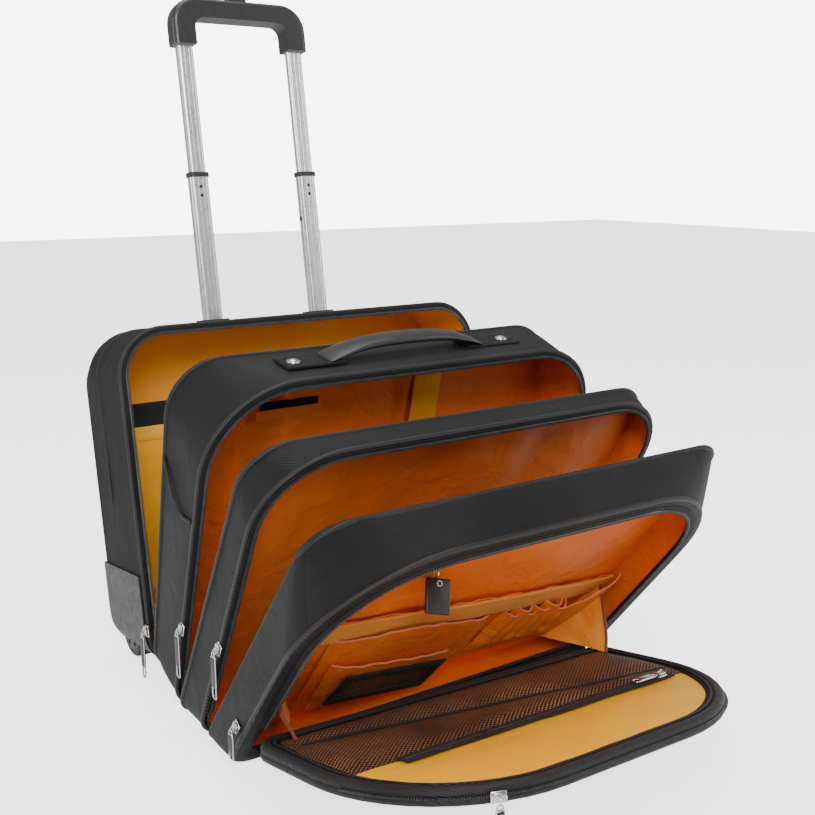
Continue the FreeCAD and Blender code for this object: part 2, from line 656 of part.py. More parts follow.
def gusset_triangle(side):
    """From the flap beside its hinge, up section C's face and out along the flap."""
    x = side * gusset_x
    near = flap_frame.multVec(Vector(x, binding_high + 0.6, 10))
    far = flap_frame.multVec(Vector(x, binding_high + 0.6, gusset_reach))
    base_up = (near.z + -c_face_depth * math.sin(math.radians(section_c_lean))) / math.cos(
        math.radians(section_c_lean)
    )
    high = c_rear_frame.multVec(Vector(x, c_face_depth - zip_thickness - 1.0, base_up + gusset_rise))
    corners = [Vector(x - gusset_thickness / 2, c.y, c.z) for c in (near, high, far)]
    return Part.Face(Part.makePolygon(corners + corners[:1])).extrude(Vector(gusset_thickness, 0, 0))


# ---- zip sliders on the left side, each on its own rim, with a pull tab hanging from it
def side_slider(frame, up, depth):
    """A slider on the left edge of a rim. Its pin carries the tab, and runs along the case's depth."""
    outward, wide, tall = slider_size
    centre = frame.multVec(Vector(-case_width / 2, depth, up))
    body = box_between(
        (-outward - fit_gap, -wide / 2, -tall / 2), (-fit_gap, wide / 2, tall / 2)
    )
    body = body.makeFillet(2.0, [e for e in body.Edges if abs(e.BoundBox.XLength - outward) < 0.01])
    return placed(body, Placement(centre, frame.Rotation)), centre


def hanging_tab(centre, length):
    """A flat tab with a ring at its top, hanging just outside the slider."""
    thick, wide = tab_size
    x_high = centre.x - slider_size[0] - fit_gap * 2
    top = centre.z - 2.0
    tab = box_between((x_high - thick, centre.y - wide / 2, top - length), (x_high, centre.y + wide / 2, top))
    tab = tab.makeFillet(thick * 0.4, [e for e in tab.Edges if abs(e.BoundBox.YLength - wide) < 0.01])
    hole = box_between(
        (x_high - thick - 1, centre.y - wide / 2 + 2, top - 9), (x_high + 1, centre.y + wide / 2 - 2, top - 3)
    )
    return tab.cut(hole)


slider_frames = {
    "shell": (shell_frame, 3.0),
    "section_a": (a_front_frame, 3.0),
    "section_b": (b_front_frame, 3.0),
    "section_c": (c_rear_frame, c_side_zip_depth),
}
pins = {}
for name, depth_shift, up, tab_length in side_sliders:
    frame, depth = slider_frames[name]
    slider, centre = side_slider(frame, up, depth + depth_shift)
    export(name + "_slider", slider)
    export(name + "_pull", hanging_tab(centre, tab_length))
    pins[name + "_slider"] = (centre, frame.Rotation.multVec(Vector(0, 0, 1)))

corner_offset = abs(front_slider_x) - (flap_width / 2 - flap_corner)
front_edge_turn = math.degrees(math.asin(corner_offset / flap_corner))
front_edge_up = flap_length - flap_corner + flap_corner * math.cos(math.radians(front_edge_turn))
front_turn = Rotation(Vector(0, 1, 0), -front_edge_turn)
front_slider = box_between((-5, -3.5, 2.6), (5, 3.5, 11.0))
front_slider_place = flap_frame.multiply(Placement(Vector(front_slider_x, 0, front_edge_up), front_turn))
front_tip = front_slider_place.multVec(Vector(0, 0, 7.5))
front_pull = box_between(
    (front_tip.x - 4, front_tip.y - 1.2, front_tip.z - 40), (front_tip.x + 4, front_tip.y + 1.2, front_tip.z - 6.5)
)

# ---- everything in its place
left_hub, left_tyre, left_bearings = wheel(-1)
right_hub, right_tyre, right_bearings = wheel(1)
in_shell = {
    "shell_gusset": shell_gusset,
    "shell_base": shell_base_panel,
    "shell_back": shell_back,
    "shell_lining": shell_lining,
    "shell_pocket": shell_pocket,
    "shell_zip": shell_zip,
    "handle_sleeves": handle_sleeves,
    "handle_mounts": Part.makeCompound(bezels + [handle_bracket]),
    "kick_plates": Part.makeCompound(kick_plates),
    "wheel_axles": wheel_axles,
    "shell_feet": shell_feet,
    "wheel_left_hub": left_hub,
    "wheel_left_tyre": left_tyre,
    "wheel_left_bearings": left_bearings,
    "wheel_right_hub": right_hub,
    "wheel_right_tyre": right_tyre,
    "wheel_right_bearings": right_bearings,
    "lower_tubes": lower_tubes,
    "tube_fittings": Part.makeCompound(collars + rivets + lock_studs),
    "upper_tubes": upper_tubes,
    "grip": grip,
    "grip_button": button,
}
for name, shape in in_shell.items():
    export(name, placed(shape, shell_frame))

on_flap = {
    "flap_binding": flap_binding,
    "flap_panel": flap_panel,
    "mesh_pocket": mesh_pocket,
    "flap_zips": Part.makeCompound([mesh_zip, front_zip]),
    "mesh_slider": mesh_slider,
    "mesh_pull": mesh_pull,
}
for name, shape in on_flap.items():
    export(name, placed(shape, flap_frame))

in_place = {
    "a_gusset": a_gusset,
    "a_base": a_base,
    "a_divider": a_divider,
    "a_lining": a_lining,
    "a_zip": a_zip,
    "carry_handle": carry_handle,
    "handle_fixings": Part.makeCompound([handle_patches, handle_rivets]),
    "b_gusset": b_gusset,
    "b_base": b_base,
    "b_divider": b_divider,
    "b_lining": b_lining,
    "b_zip": b_zip,
    "c_gusset": c_gusset,
    "c_base": c_base,
    "c_divider": c_divider,
    "c_lining": c_lining,
    "c_border": c_border,
    "c_zip": c_zip,
    "c_pocket_panel": c_pocket_panel,
    "c_small_pockets": c_small_pockets,
    "key_fob": key_fob,
    "flap_gussets": both_sides(gusset_triangle),
    "front_slider": placed(front_slider, front_slider_place),
    "front_pull": front_pull,
}
for name, shape in in_place.items():
    export(name, shape)
pins["wheel_left"] = (shell_frame.multVec(Vector(-wheel_x, wheel_back, wheel_up)), Vector(1, 0, 0))
pins["handle"] = (shell_frame.Base, shell_frame.Rotation.multVec(Vector(0, 0, 1)))
pins["flap"] = (flap_frame.Base, flap_frame.Rotation.multVec(Vector(1, 0, 0)))
pins["flap_forward"] = (flap_frame.Base, flap_frame.Rotation.multVec(Vector(0, 0, 1)))
pins["mesh_pull"] = (flap_frame.multVec(Vector(150.0, lining_low + 6.4, mesh_length + 4.5)), Vector(0, 0, 1))
pins["front_pull"] = (front_tip, Vector(1, 0, 0))
pins["key_fob"] = (fob_pin, Vector(1, 0, 0))
pins["carry"] = (carry_frame.Base, Vector(1, 0, 0))
for name, (point, along) in pins.items():
    print("axis", name, [round(v, 3) for v in point], [round(v, 6) for v in along])
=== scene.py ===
import math

import bmesh
import bpy
from mathutils import Matrix, Vector, kdtree, noise


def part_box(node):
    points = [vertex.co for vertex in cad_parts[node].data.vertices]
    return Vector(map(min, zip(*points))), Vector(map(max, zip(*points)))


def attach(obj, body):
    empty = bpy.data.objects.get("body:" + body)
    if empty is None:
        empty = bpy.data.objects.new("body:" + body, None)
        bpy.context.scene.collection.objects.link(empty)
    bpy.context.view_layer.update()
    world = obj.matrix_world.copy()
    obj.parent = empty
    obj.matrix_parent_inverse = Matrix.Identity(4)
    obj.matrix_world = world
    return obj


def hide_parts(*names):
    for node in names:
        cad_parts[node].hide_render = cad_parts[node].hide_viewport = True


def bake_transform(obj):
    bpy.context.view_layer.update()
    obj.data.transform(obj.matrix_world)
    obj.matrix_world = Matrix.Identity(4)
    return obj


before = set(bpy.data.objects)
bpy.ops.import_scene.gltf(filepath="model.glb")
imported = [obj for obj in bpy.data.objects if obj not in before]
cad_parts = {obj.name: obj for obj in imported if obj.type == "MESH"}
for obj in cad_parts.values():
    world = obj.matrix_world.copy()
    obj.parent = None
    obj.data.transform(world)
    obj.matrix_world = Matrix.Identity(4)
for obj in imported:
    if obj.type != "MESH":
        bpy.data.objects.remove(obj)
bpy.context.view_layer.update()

# ---- Floor, soft light and camera.
# A plain pale studio floor with three large soft lights. The camera looks down on the open case
# from its front left, at the height of the raised handle's middle.
bpy.ops.object.select_all(action="DESELECT")
bpy.ops.mesh.primitive_plane_add(size=14, location=(0, 0, -0.0006))
studio_floor = bpy.context.object
studio_floor.name = "studio_floor"
floor_finish = bpy.data.materials.new("floor_finish")
floor_finish.use_nodes = True
floor_shader = floor_finish.node_tree.nodes["Principled BSDF"]
floor_shader.inputs["Base Color"].default_value = (0.93, 0.93, 0.93, 1)
floor_shader.inputs["Roughness"].default_value = 0.85
floor_shader.inputs["Emission Color"].default_value = (1, 1, 1, 1)
floor_view = floor_finish.node_tree.nodes.new("ShaderNodeLightPath")
floor_glow = floor_finish.node_tree.nodes.new("ShaderNodeMath")
floor_glow.operation = "MULTIPLY"
floor_glow.inputs[1].default_value = 2.2
floor_finish.node_tree.links.new(floor_view.outputs["Is Camera Ray"], floor_glow.inputs[0])
floor_finish.node_tree.links.new(floor_glow.outputs[0], floor_shader.inputs["Emission Strength"])
studio_floor.data.materials.append(floor_finish)


def soft_light(name, place, target, size, watts):
    """A square area light that faces a point on the case."""
    bpy.ops.object.light_add(type="AREA", location=place)
    light = bpy.context.object
    light.name = name
    light.data.size = size
    light.data.energy = watts
    light.rotation_euler = (Vector(target) - Vector(place)).to_track_quat("-Z", "Y").to_euler()
    return light


soft_light("key_light", (-1.1, -1.9, 1.9), (0.0, -0.05, 0.2), 1.3, 62)
soft_light("side_light", (2.1, -1.2, 1.2), (0.05, -0.1, 0.2), 1.6, 20)
soft_light("top_light", (-0.1, 0.3, 2.3), (0.0, 0.0, 0.2), 1.6, 26)
soft_light("rim_light", (-2.0, 0.9, 1.1), (-0.2, 0.1, 0.3), 1.0, 14)
bpy.context.scene.world = bpy.data.worlds.new("studio_air")
bpy.context.scene.world.use_nodes = True
studio_air = bpy.context.scene.world.node_tree.nodes["Background"]
studio_air.inputs["Color"].default_value = (1, 1, 1, 1)
air_tree = bpy.context.scene.world.node_tree
air_view = air_tree.nodes.new("ShaderNodeLightPath")
air_level = air_tree.nodes.new("ShaderNodeMapRange")
air_level.inputs["To Min"].default_value = 0.42
air_level.inputs["To Max"].default_value = 7.0
air_tree.links.new(air_view.outputs["Is Camera Ray"], air_level.inputs["Value"])
air_tree.links.new(air_level.outputs["Result"], studio_air.inputs["Strength"])

bpy.ops.object.camera_add(location=(-0.5587, -0.8652, 0.5216))
studio_camera = bpy.context.object
studio_camera.data.sensor_width = 36
studio_camera.data.lens = 47.06
studio_camera.rotation_euler = (math.radians(90 - 12.8), 0, math.radians(-33.85))
bpy.context.scene.camera = studio_camera

# ---- Rear clothes compartment: the black outer cloth.
# Plain-weave nylon over foam, sewn as a deep tray that leans back from the wheels. Its edges are piped,
# and the bottom corner at the back is rounded over the wheels.
shell_frame = Matrix.Translation((0, 0.1015, 0.026)) @ Matrix.Rotation(math.radians(-9.4), 4, "X")
shell_rim = dict(half=0.2175, low=0.0, high=0.341, upper=0.048, lower=0.030)


def work_on(piece, mode="EDIT"):
    """Makes one piece the only selected and active one, in the asked mode."""
    if bpy.context.object and bpy.context.object.mode != "OBJECT":
        bpy.ops.object.mode_set(mode="OBJECT")
    bpy.ops.object.select_all(action="DESELECT")
    piece.select_set(True)
    bpy.context.view_layer.objects.active = piece
    if mode == "EDIT":
        bpy.ops.object.mode_set(mode="EDIT")


def choose(piece, kind, test):
    """Selects the vertices, edges or faces of the piece in edit mode that pass a test."""
    bpy.ops.mesh.select_mode(type=kind)
    bpy.ops.mesh.select_all(action="DESELECT")
    mesh = bmesh.from_edit_mesh(piece.data)
    parts = {"VERT": mesh.verts, "EDGE": mesh.edges, "FACE": mesh.faces}[kind]
    for part in parts:
        part.select_set(bool(test(part)))
    mesh.select_flush_mode()
    bmesh.update_edit_mesh(piece.data)


def outline(name, place, half, low, high, upper, lower, depth=0.0, inset=0.0, cuts=23, turns=12):
    """A closed edge loop that follows a sewn rim, standing in a leaning plane."""
    bpy.ops.object.select_all(action="DESELECT")
    bpy.ops.mesh.primitive_plane_add(size=1)
    loop = bpy.context.object
    loop.name = name
    loop.data.transform(
        place
        @ Matrix.Translation((0, depth, (low + high) / 2))
        @ Matrix.Rotation(math.radians(90), 4, "X")
        @ Matrix.Diagonal((2 * (half - inset), high - low - 2 * inset, 1, 1))
    )
    middle = place @ Vector((0, depth, (low + high) / 2))
    work_on(loop)
    for radius, sign in ((upper - inset, 1), (lower - inset, -1)):
        rise = place.to_3x3() @ Vector((0, 0, sign))
        choose(loop, "VERT", lambda v: (v.co - middle).dot(rise) > (high - low) / 2 - inset - 1e-5)
        bpy.ops.mesh.bevel(offset=max(radius, 0.001), segments=turns, affect="VERTICES")
    bpy.ops.mesh.select_all(action="SELECT")
    bpy.ops.mesh.delete(type="ONLY_FACE")
    straight = sorted((e.calc_length() for e in bmesh.from_edit_mesh(loop.data).edges), reverse=True)[3]
    choose(loop, "EDGE", lambda e: e.calc_length() > straight - 1e-6)
    bpy.ops.mesh.subdivide(number_cuts=cuts)
    bpy.ops.object.mode_set(mode="OBJECT")
    return loop


def join(name, pieces):
    """Joins pieces into the first, under a new name."""
    work_on(pieces[0], "OBJECT")
    for piece in pieces[1:]:
        piece.select_set(True)
    bpy.ops.object.join()
    pieces[0].name = name
    return pieces[0]


def band(name, loops, cuts=0):
    """Cloth sewn between edge loops, one after another."""
    piece = join(name, loops)
    work_on(piece)
    bpy.ops.mesh.select_all(action="SELECT")
    bpy.ops.mesh.bridge_edge_loops(number_cuts=cuts, interpolation="LINEAR", smoothness=0)
    bpy.ops.mesh.select_all(action="SELECT")
    bpy.ops.mesh.normals_make_consistent(inside=False)
    bpy.ops.object.mode_set(mode="OBJECT")
    return piece


def panel(name, loop, place, step=0.011):
    """A flat sheet that fills an edge loop, cut into a fine grid so that it can sag and fold."""
    work_on(loop)
    bpy.ops.mesh.select_all(action="SELECT")
    bpy.ops.mesh.edge_face_add()
    turn = place.to_3x3()
    for direction, reach in (((1, 0, 0), 0.23), ((0, 0, 1), 0.37)):
        normal = turn @ Vector(direction)
        start = -reach if direction[0] else step
        at = start
        while at < reach:
            bpy.ops.mesh.select_all(action="SELECT")
            bpy.ops.mesh.bisect(plane_co=place @ (Vector(direction) * at), plane_no=normal)
            at += step
    bpy.ops.object.mode_set(mode="OBJECT")
    loop.name = name
    return loop


def sag(piece, place, move, margin=0.0):
    """Moves each point of the piece, in its leaning frame, by move(x, y, z, loose).
    loose is 0 on the sewn edges, and grows to 1 at margin from them."""
    back = place.inverted()
    mesh = bmesh.new()
    mesh.from_mesh(piece.data)
    sewn = [v.index for v in mesh.verts if v.is_boundary]
    mesh.free()
    edge = kdtree.KDTree(max(1, len(sewn)))
    for index in sewn:
        edge.insert(piece.data.vertices[index].co, index)
    edge.balance()
    moves = []
    for vertex in piece.data.vertices:
        loose = min(1.0, edge.find(vertex.co)[2] / margin) if margin else 1.0
        here = back @ vertex.co
        shift = Vector(move(here.x, here.y, here.z, loose * loose * (3 - 2 * loose)))
        moves.append(place @ (here + shift))
    for vertex, moved in zip(piece.data.vertices, moves):
        vertex.co = moved
    piece.data.update()


def ripple(x, y, z, size, seed):
    """Smooth unevenness of hand-filled cloth, from -1 to 1."""
    return noise.noise(Vector((x / size + seed, y / size - seed, z / size + 2.7 * seed)))


def thicken(piece, depth, offset=-1.0, bevel=0.0):
    """Gives a sheet its thickness, and rounds its cut edges if asked."""
    work_on(piece, "OBJECT")
    wall = piece.modifiers.new("wall", "SOLIDIFY")
    wall.thickness = depth
    wall.offset = offset
    bpy.ops.object.modifier_apply(modifier=wall.name)
    if bevel:
        edge = piece.modifiers.new("edge", "BEVEL")
        edge.width = bevel
        edge.segments = 2
        bpy.ops.object.modifier_apply(modifier=edge.name)


def lay_cloth(piece, smooth=True):
    """Unrolls the piece's surface for the weave, in metres, and shades it smoothly."""
    work_on(piece)
    bpy.ops.mesh.select_all(action="SELECT")
    bpy.ops.uv.cube_project(cube_size=1.0, correct_aspect=False)
    bpy.ops.object.mode_set(mode="OBJECT")
    if smooth:
        bpy.ops.object.shade_smooth_by_angle(angle=math.radians(50))


def socket(group, name, direction, value=None, kind="NodeSocketFloat"):
    made = group.interface.new_socket(name=name, in_out=direction, socket_type=kind)
    if value is not None:
        made.default_value = value
    return made


def make_weave():
    """Shared effect: the height and the light and dark of woven threads, plain or twill."""
    group = bpy.data.node_groups.new("woven_threads", "ShaderNodeTree")
    socket(group, "Vector", "INPUT", kind="NodeSocketVector")
    socket(group, "Rib Scale", "INPUT", 180.0)
    socket(group, "Twill", "INPUT", 1.0)
    socket(group, "Height", "OUTPUT")
    socket(group, "Thread", "OUTPUT")
    nodes, links = group.nodes, group.links
    enter, leave = nodes.new("NodeGroupInput"), nodes.new("NodeGroupOutput")
    waves = []
    for direction, share in (("DIAGONAL", 1.0), ("X", 1.5), ("Y", 1.5)):
        scale = nodes.new("ShaderNodeMath")
        scale.operation = "MULTIPLY"
        scale.inputs[1].default_value = share
        links.new(enter.outputs["Rib Scale"], scale.inputs[0])
        wave = nodes.new("ShaderNodeTexWave")
        wave.wave_type = "BANDS"
        wave.bands_direction = direction
        wave.inputs["Distortion"].default_value = 0.5
        wave.inputs["Detail"].default_value = 1.0
        links.new(enter.outputs["Vector"], wave.inputs["Vector"])
        links.new(scale.outputs[0], wave.inputs["Scale"])
        waves.append(wave)
    plain = nodes.new("ShaderNodeMath")
    plain.operation = "MULTIPLY"
    links.new(waves[1].outputs["Fac"], plain.inputs[0])
    links.new(waves[2].outputs["Fac"], plain.inputs[1])
    mix = nodes.new("ShaderNodeMix")
    links.new(enter.outputs["Twill"], mix.inputs["Factor"])
    links.new(plain.outputs[0], mix.inputs["A"])
    links.new(waves[0].outputs["Fac"], mix.inputs["B"])
    fleck = nodes.new("ShaderNodeTexNoise")
    fleck.inputs["Scale"].default_value = 900.0
    fleck.inputs["Detail"].default_value = 1.0
    links.new(enter.outputs["Vector"], fleck.inputs["Vector"])
    thread = nodes.new("ShaderNodeMath")
    thread.operation = "MULTIPLY"
    links.new(mix.outputs["Result"], thread.inputs[0])
    links.new(fleck.outputs["Fac"], thread.inputs[1])
    links.new(mix.outputs["Result"], leave.inputs["Height"])
    links.new(thread.outputs[0], leave.inputs["Thread"])
    return group


def make_unevenness():
    """Shared effect: broad soft patches and fine creases, used to vary colour, roughness and bumps."""
    group = bpy.data.node_groups.new("soft_unevenness", "ShaderNodeTree")
    socket(group, "Vector", "INPUT", kind="NodeSocketVector")
    socket(group, "Patch Scale", "INPUT", 9.0)
    socket(group, "Crease Scale", "INPUT", 26.0)
    socket(group, "Patch", "OUTPUT")
    socket(group, "Crease", "OUTPUT")
    nodes, links = group.nodes, group.links
    enter, leave = nodes.new("NodeGroupInput"), nodes.new("NodeGroupOutput")
    for name, detail, warp in (("Patch", 3.0, 0.0), ("Crease", 5.0, 1.2)):
        cloud = nodes.new("ShaderNodeTexNoise")
        cloud.inputs["Detail"].default_value = detail
        cloud.inputs["Distortion"].default_value = warp
        links.new(enter.outputs["Vector"], cloud.inputs["Vector"])
        links.new(enter.outputs[name + " Scale"], cloud.inputs["Scale"])
        spread = nodes.new("ShaderNodeMapRange")
        spread.inputs["From Min"].default_value = 0.3
        spread.inputs["From Max"].default_value = 0.7
        links.new(cloud.outputs["Fac"], spread.inputs["Value"])
        links.new(spread.outputs["Result"], leave.inputs[name])
    return group


woven_threads = make_weave()
soft_unevenness = make_unevenness()


def place_node(material, kind, **values):
    node = material.node_tree.nodes.new(kind)
    for key, value in values.items():
        if key in node.inputs:
            node.inputs[key].default_value = value
        else:
            setattr(node, key, value)
    return node


def place_group(material, group, **values):
    node = material.node_tree.nodes.new("ShaderNodeGroup")
    node.node_tree = group
    for key, value in values.items():
        node.inputs[key.replace("_", " ")].default_value = value
    return node


def woven(name, colour, shade, rib=180.0, twill=1.0, rib_height=0.0004, crease=0.0015, roughness=0.6,
          sheen=0.3, sheen_tint=(1, 1, 1, 1), patch=9.0, coordinate="UV", specular=0.4):
    """A sewn cloth: two tones, mixed by its threads and by broad soft random patches, with ribs and creases
    in its surface.
    """
    material = bpy.data.materials.new(name)
    material.use_nodes = True
    nodes, links = material.node_tree.nodes, material.node_tree.links
    shader = nodes["Principled BSDF"]
    shader.inputs["Roughness"].default_value = roughness
    shader.inputs["Sheen Weight"].default_value = sheen
    shader.inputs["Sheen Roughness"].default_value = 0.5
    shader.inputs["Sheen Tint"].default_value = sheen_tint
    shader.inputs["Specular IOR Level"].default_value = specular
    where = place_node(material, "ShaderNodeTexCoord")
    threads = place_group(material, woven_threads, Rib_Scale=rib, Twill=twill)
    folds = place_group(material, soft_unevenness, Patch_Scale=patch)
    links.new(where.outputs[coordinate], threads.inputs["Vector"])
    links.new(where.outputs["Object"], folds.inputs["Vector"])
    tone = place_node(material, "ShaderNodeMix", data_type="RGBA")
    tone.inputs["A"].default_value = (*shade, 1)
    tone.inputs["B"].default_value = (*colour, 1)
    share = place_node(material, "ShaderNodeMath", operation="MULTIPLY_ADD")
    share.inputs[1].default_value = 0.55
    links.new(threads.outputs["Thread"], share.inputs[0])
    links.new(folds.outputs["Patch"], share.inputs[2])
    links.new(share.outputs[0], tone.inputs["Factor"])
    links.new(tone.outputs["Result"], shader.inputs["Base Color"])
    fold_bump = place_node(material, "ShaderNodeBump", Strength=0.6, Distance=crease)
    rib_bump = place_node(material, "ShaderNodeBump", Strength=0.8, Distance=rib_height)
    links.new(folds.outputs["Crease"], fold_bump.inputs["Height"])
    links.new(fold_bump.outputs["Normal"], rib_bump.inputs["Normal"])
    links.new(threads.outputs["Height"], rib_bump.inputs["Height"])
    links.new(rib_bump.outputs["Normal"], shader.inputs["Normal"])
    return material


def wear(piece, material, slot, body, *nodes):
    """Gives a finished piece its cloth, its body, and the CAD nodes it stands for. The slot argument is not
    used.
    """
    piece.data.materials.clear()
    piece.data.materials.append(material)
    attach(piece, body)
    if nodes:
        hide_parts(*nodes)


nylon = woven("nylon_cloth", (0.008, 0.008, 0.009), (0.003, 0.003, 0.004), rib=260, twill=0.0,
              rib_height=0.00030, crease=0.0012, roughness=0.58, sheen=0.01, specular=0.18)


def shell_low(depth):
    return 0.0 if depth <= 0.077 else 0.045 - math.sqrt(max(0.0, 0.045**2 - (depth - 0.077) ** 2))


def shell_high(depth):
    return 0.341 if depth <= 0.102 else 0.321 + math.sqrt(max(0.0, 0.020**2 - (depth - 0.102) ** 2))


def shell_loops(depths, inset):
    """Edge loops of the compartment at some depths, drawn in by inset."""
    loops = []
    for depth in depths:
        size = dict(shell_rim, low=shell_low(depth), high=shell_high(depth))
        loops.append(outline("shell_loop", shell_frame, depth=depth, inset=inset, **size))
    return loops


shell_depths = (0.0036, 0.012, 0.03, 0.052, 0.077, 0.090, 0.102, 0.109, 0.115, 0.119, 0.1212, 0.122)
shell_cloth = band("shell_cloth", shell_loops(shell_depths, 0.0))
work_on(shell_cloth)
shell_back_height = (shell_frame.inverted(), 0.1219)
choose(shell_cloth, "EDGE", lambda e: all((shell_back_height[0] @ v.co).y > 0.1219 for v in e.verts))
bpy.ops.mesh.edge_face_add()
bpy.ops.mesh.inset(thickness=0.012, depth=0.0)
bpy.ops.mesh.inset(thickness=0.004, depth=-0.0015)
bpy.ops.mesh.inset(thickness=0.006, depth=0.002)
bpy.ops.mesh.select_all(action="SELECT")
bpy.ops.mesh.normals_make_consistent(inside=False)
bpy.ops.object.mode_set(mode="OBJECT")
sag(shell_cloth, shell_frame, lambda x, y, z, loose: (
    0.0022 * math.copysign(1, x) * max(0.0, 1 - ((y - 0.062) / 0.06) ** 2) * (0.4 + ripple(x, y, z, 0.09, 1)),
    0.0,
    0.0016 * math.copysign(1, z - 0.17) * max(0.0, 1 - ((y - 0.055) / 0.055) ** 2) * ripple(x, y, z, 0.08, 2)
    if z > 0.17 else 0.0,
))
thicken(shell_cloth, 0.0024)
lay_cloth(shell_cloth)
wear(shell_cloth, nylon, "nylon_black", "shell", "shell_gusset", "shell_base", "shell_back")


def cord_along(name, loop, radius, keep=None, sides=2):
    """A round piping cord along an edge loop, or along the part of it that passes keep."""
    work_on(loop)
    if keep:
        choose(loop, "VERT", lambda v: not keep(v.co))
        bpy.ops.mesh.delete(type="VERT")
    bpy.ops.object.mode_set(mode="OBJECT")
    bpy.ops.object.convert(target="CURVE")
    line = bpy.context.object
    line.data.bevel_depth = radius
    line.data.bevel_resolution = sides
    line.data.use_fill_caps = True
    bpy.ops.object.convert(target="MESH")
    bpy.ops.object.shade_smooth()
    line.name = name
    return line


piping_black = woven("piping_cloth", (0.018, 0.018, 0.019), (0.008, 0.008, 0.009), rib=300, twill=1.0,
                     rib_height=0.0003, crease=0.0004, roughness=0.42, sheen=0.03, coordinate="Object",
                         specular=0.35)
shell_piping = join("shell_piping", [
    cord_along("rim_cord", outline("rim_line", shell_frame, depth=0.0046, inset=0.0002, **shell_rim), 0.0026),
    cord_along("back_cord", outline("back_line", shell_frame, depth=0.1205, inset=0.0018,
                                    **dict(shell_rim, low=shell_low(0.1195), high=shell_high(0.1195))),
                                        0.0024),
    cord_along("side_cord", outline("side_line", shell_frame, depth=0.077, inset=0.0, **shell_rim), 0.0014,
               keep=lambda p: (shell_frame.inverted() @ p).z > 0.16),
])
wear(shell_piping, piping_black, "nylon_black", "shell")


def zip_chain(name, loop, tooth=(0.0009, 0.0024, 0.0013), pitch=1.25, keep=None):
    """Interlocked zip teeth along an edge loop: one small tooth, repeated along it."""
    work_on(loop)
    if keep:
        choose(loop, "VERT", lambda v: not keep(v.co))
        bpy.ops.mesh.delete(type="VERT")
    bpy.ops.object.mode_set(mode="OBJECT")
    bpy.ops.object.convert(target="CURVE")
    path = bpy.context.object
    bpy.ops.object.select_all(action="DESELECT")
    bpy.ops.mesh.primitive_ico_sphere_add(subdivisions=1, radius=1.0)
    chain = bpy.context.object
    chain.scale = tooth
    bpy.ops.object.transform_apply(location=False, rotation=False, scale=True)
    row = chain.modifiers.new("row", "ARRAY")
    row.fit_type = "FIT_CURVE"
    row.curve = path
    row.relative_offset_displace = (pitch, 0, 0)
    follow = chain.modifiers.new("follow", "CURVE")
    follow.object = path
    bpy.ops.object.modifier_apply(modifier="row")
    bpy.ops.object.modifier_apply(modifier="follow")
    bpy.data.objects.remove(path, do_unlink=True)
    chain.name = name
    return chain


def zip_finish(name, colour, roughness, metallic=0.0):
    """Moulded zip teeth in two tones, mixed in soft random patches, with roughness varied by fine noise."""
    material = bpy.data.materials.new(name)
    material.use_nodes = True
    nodes, links = material.node_tree.nodes, material.node_tree.links
    shader = nodes["Principled BSDF"]
    shader.inputs["Metallic"].default_value = metallic
    where = place_node(material, "ShaderNodeTexCoord")
    cloud = place_group(material, soft_unevenness, Patch_Scale=140.0)
    links.new(where.outputs["Object"], cloud.inputs["Vector"])
    tone = place_node(material, "ShaderNodeMix", data_type="RGBA")
    tone.inputs["A"].default_value = (*[c * 0.55 for c in colour], 1)
    tone.inputs["B"].default_value = (*colour, 1)
    links.new(cloud.outputs["Patch"], tone.inputs["Factor"])
    links.new(tone.outputs["Result"], shader.inputs["Base Color"])
    rough = place_node(material, "ShaderNodeMapRange")
    rough.inputs["To Min"].default_value = roughness * 0.75
    rough.inputs["To Max"].default_value = roughness * 1.2
    links.new(cloud.outputs["Crease"], rough.inputs["Value"])
    links.new(rough.outputs["Result"], shader.inputs["Roughness"])
    return material


teeth_dark = zip_finish("zip_teeth_dark", (0.055, 0.055, 0.058), 0.34)
tape_black = woven("zip_tape_cloth", (0.014, 0.014, 0.015), (0.006, 0.006, 0.006), rib=260, twill=0.4,
                   rib_height=0.0002, crease=0.0004, roughness=0.7, sheen=0.03, coordinate="Object",
                       specular=0.25)


def above(place, height):
    """A test that keeps what lies above a height in a leaning frame."""
    back = place.inverted()
    return lambda point: (back @ point).z > height


def sewn_zip(name, place, size, depth, body, node, inset=0.0062, facing=1, low=0.036):
    """Zip tape sewn inside a rim, with its row of teeth on the free edge."""
    tape = band(name + "_tape", [
        outline("tape_out", place, depth=depth, inset=0.0012, **size),
        outline("tape_in", place, depth=depth + 0.0004 * facing, inset=inset, **size),
    ], cuts=1)
    work_on(tape)
    keep = above(place, low)
    choose(tape, "VERT", lambda v: not keep(v.co))
    bpy.ops.mesh.delete(type="VERT")
    bpy.ops.object.mode_set(mode="OBJECT")
    thicken(tape, 0.0009, 0.0)
    lay_cloth(tape)
    wear(tape, tape_black, "zip_black", body)
    chain = zip_chain(name + "_teeth", outline("teeth_line", place, depth=depth - 0.0006 * facing,
                                              inset=inset - 0.0004, **size), keep=keep)
    wear(chain, teeth_dark, "zip_black", body, *([node] if node else []))
    return tape, chain


sewn_zip("shell_zip", shell_frame, shell_rim, 0.0018, "shell", "shell_zip")

# ---- Rear compartment: its bright lining and the flat pocket inside.
# Thin satin lining cloth, sewn into the rim and loose over the foam, so that it lies in soft folds.
# The flat pocket at the left has a turned hem and a dark backing.


def satin(name, colour, shade, crease=0.0022, roughness=0.42, patch=7.0, sheen=0.2):
    return woven(name, colour, shade, rib=330, twill=0.0, rib_height=0.00012, crease=crease,
                 roughness=roughness, sheen=sheen, sheen_tint=(1.0, 0.75, 0.4, 1), patch=patch, specular=0.45)
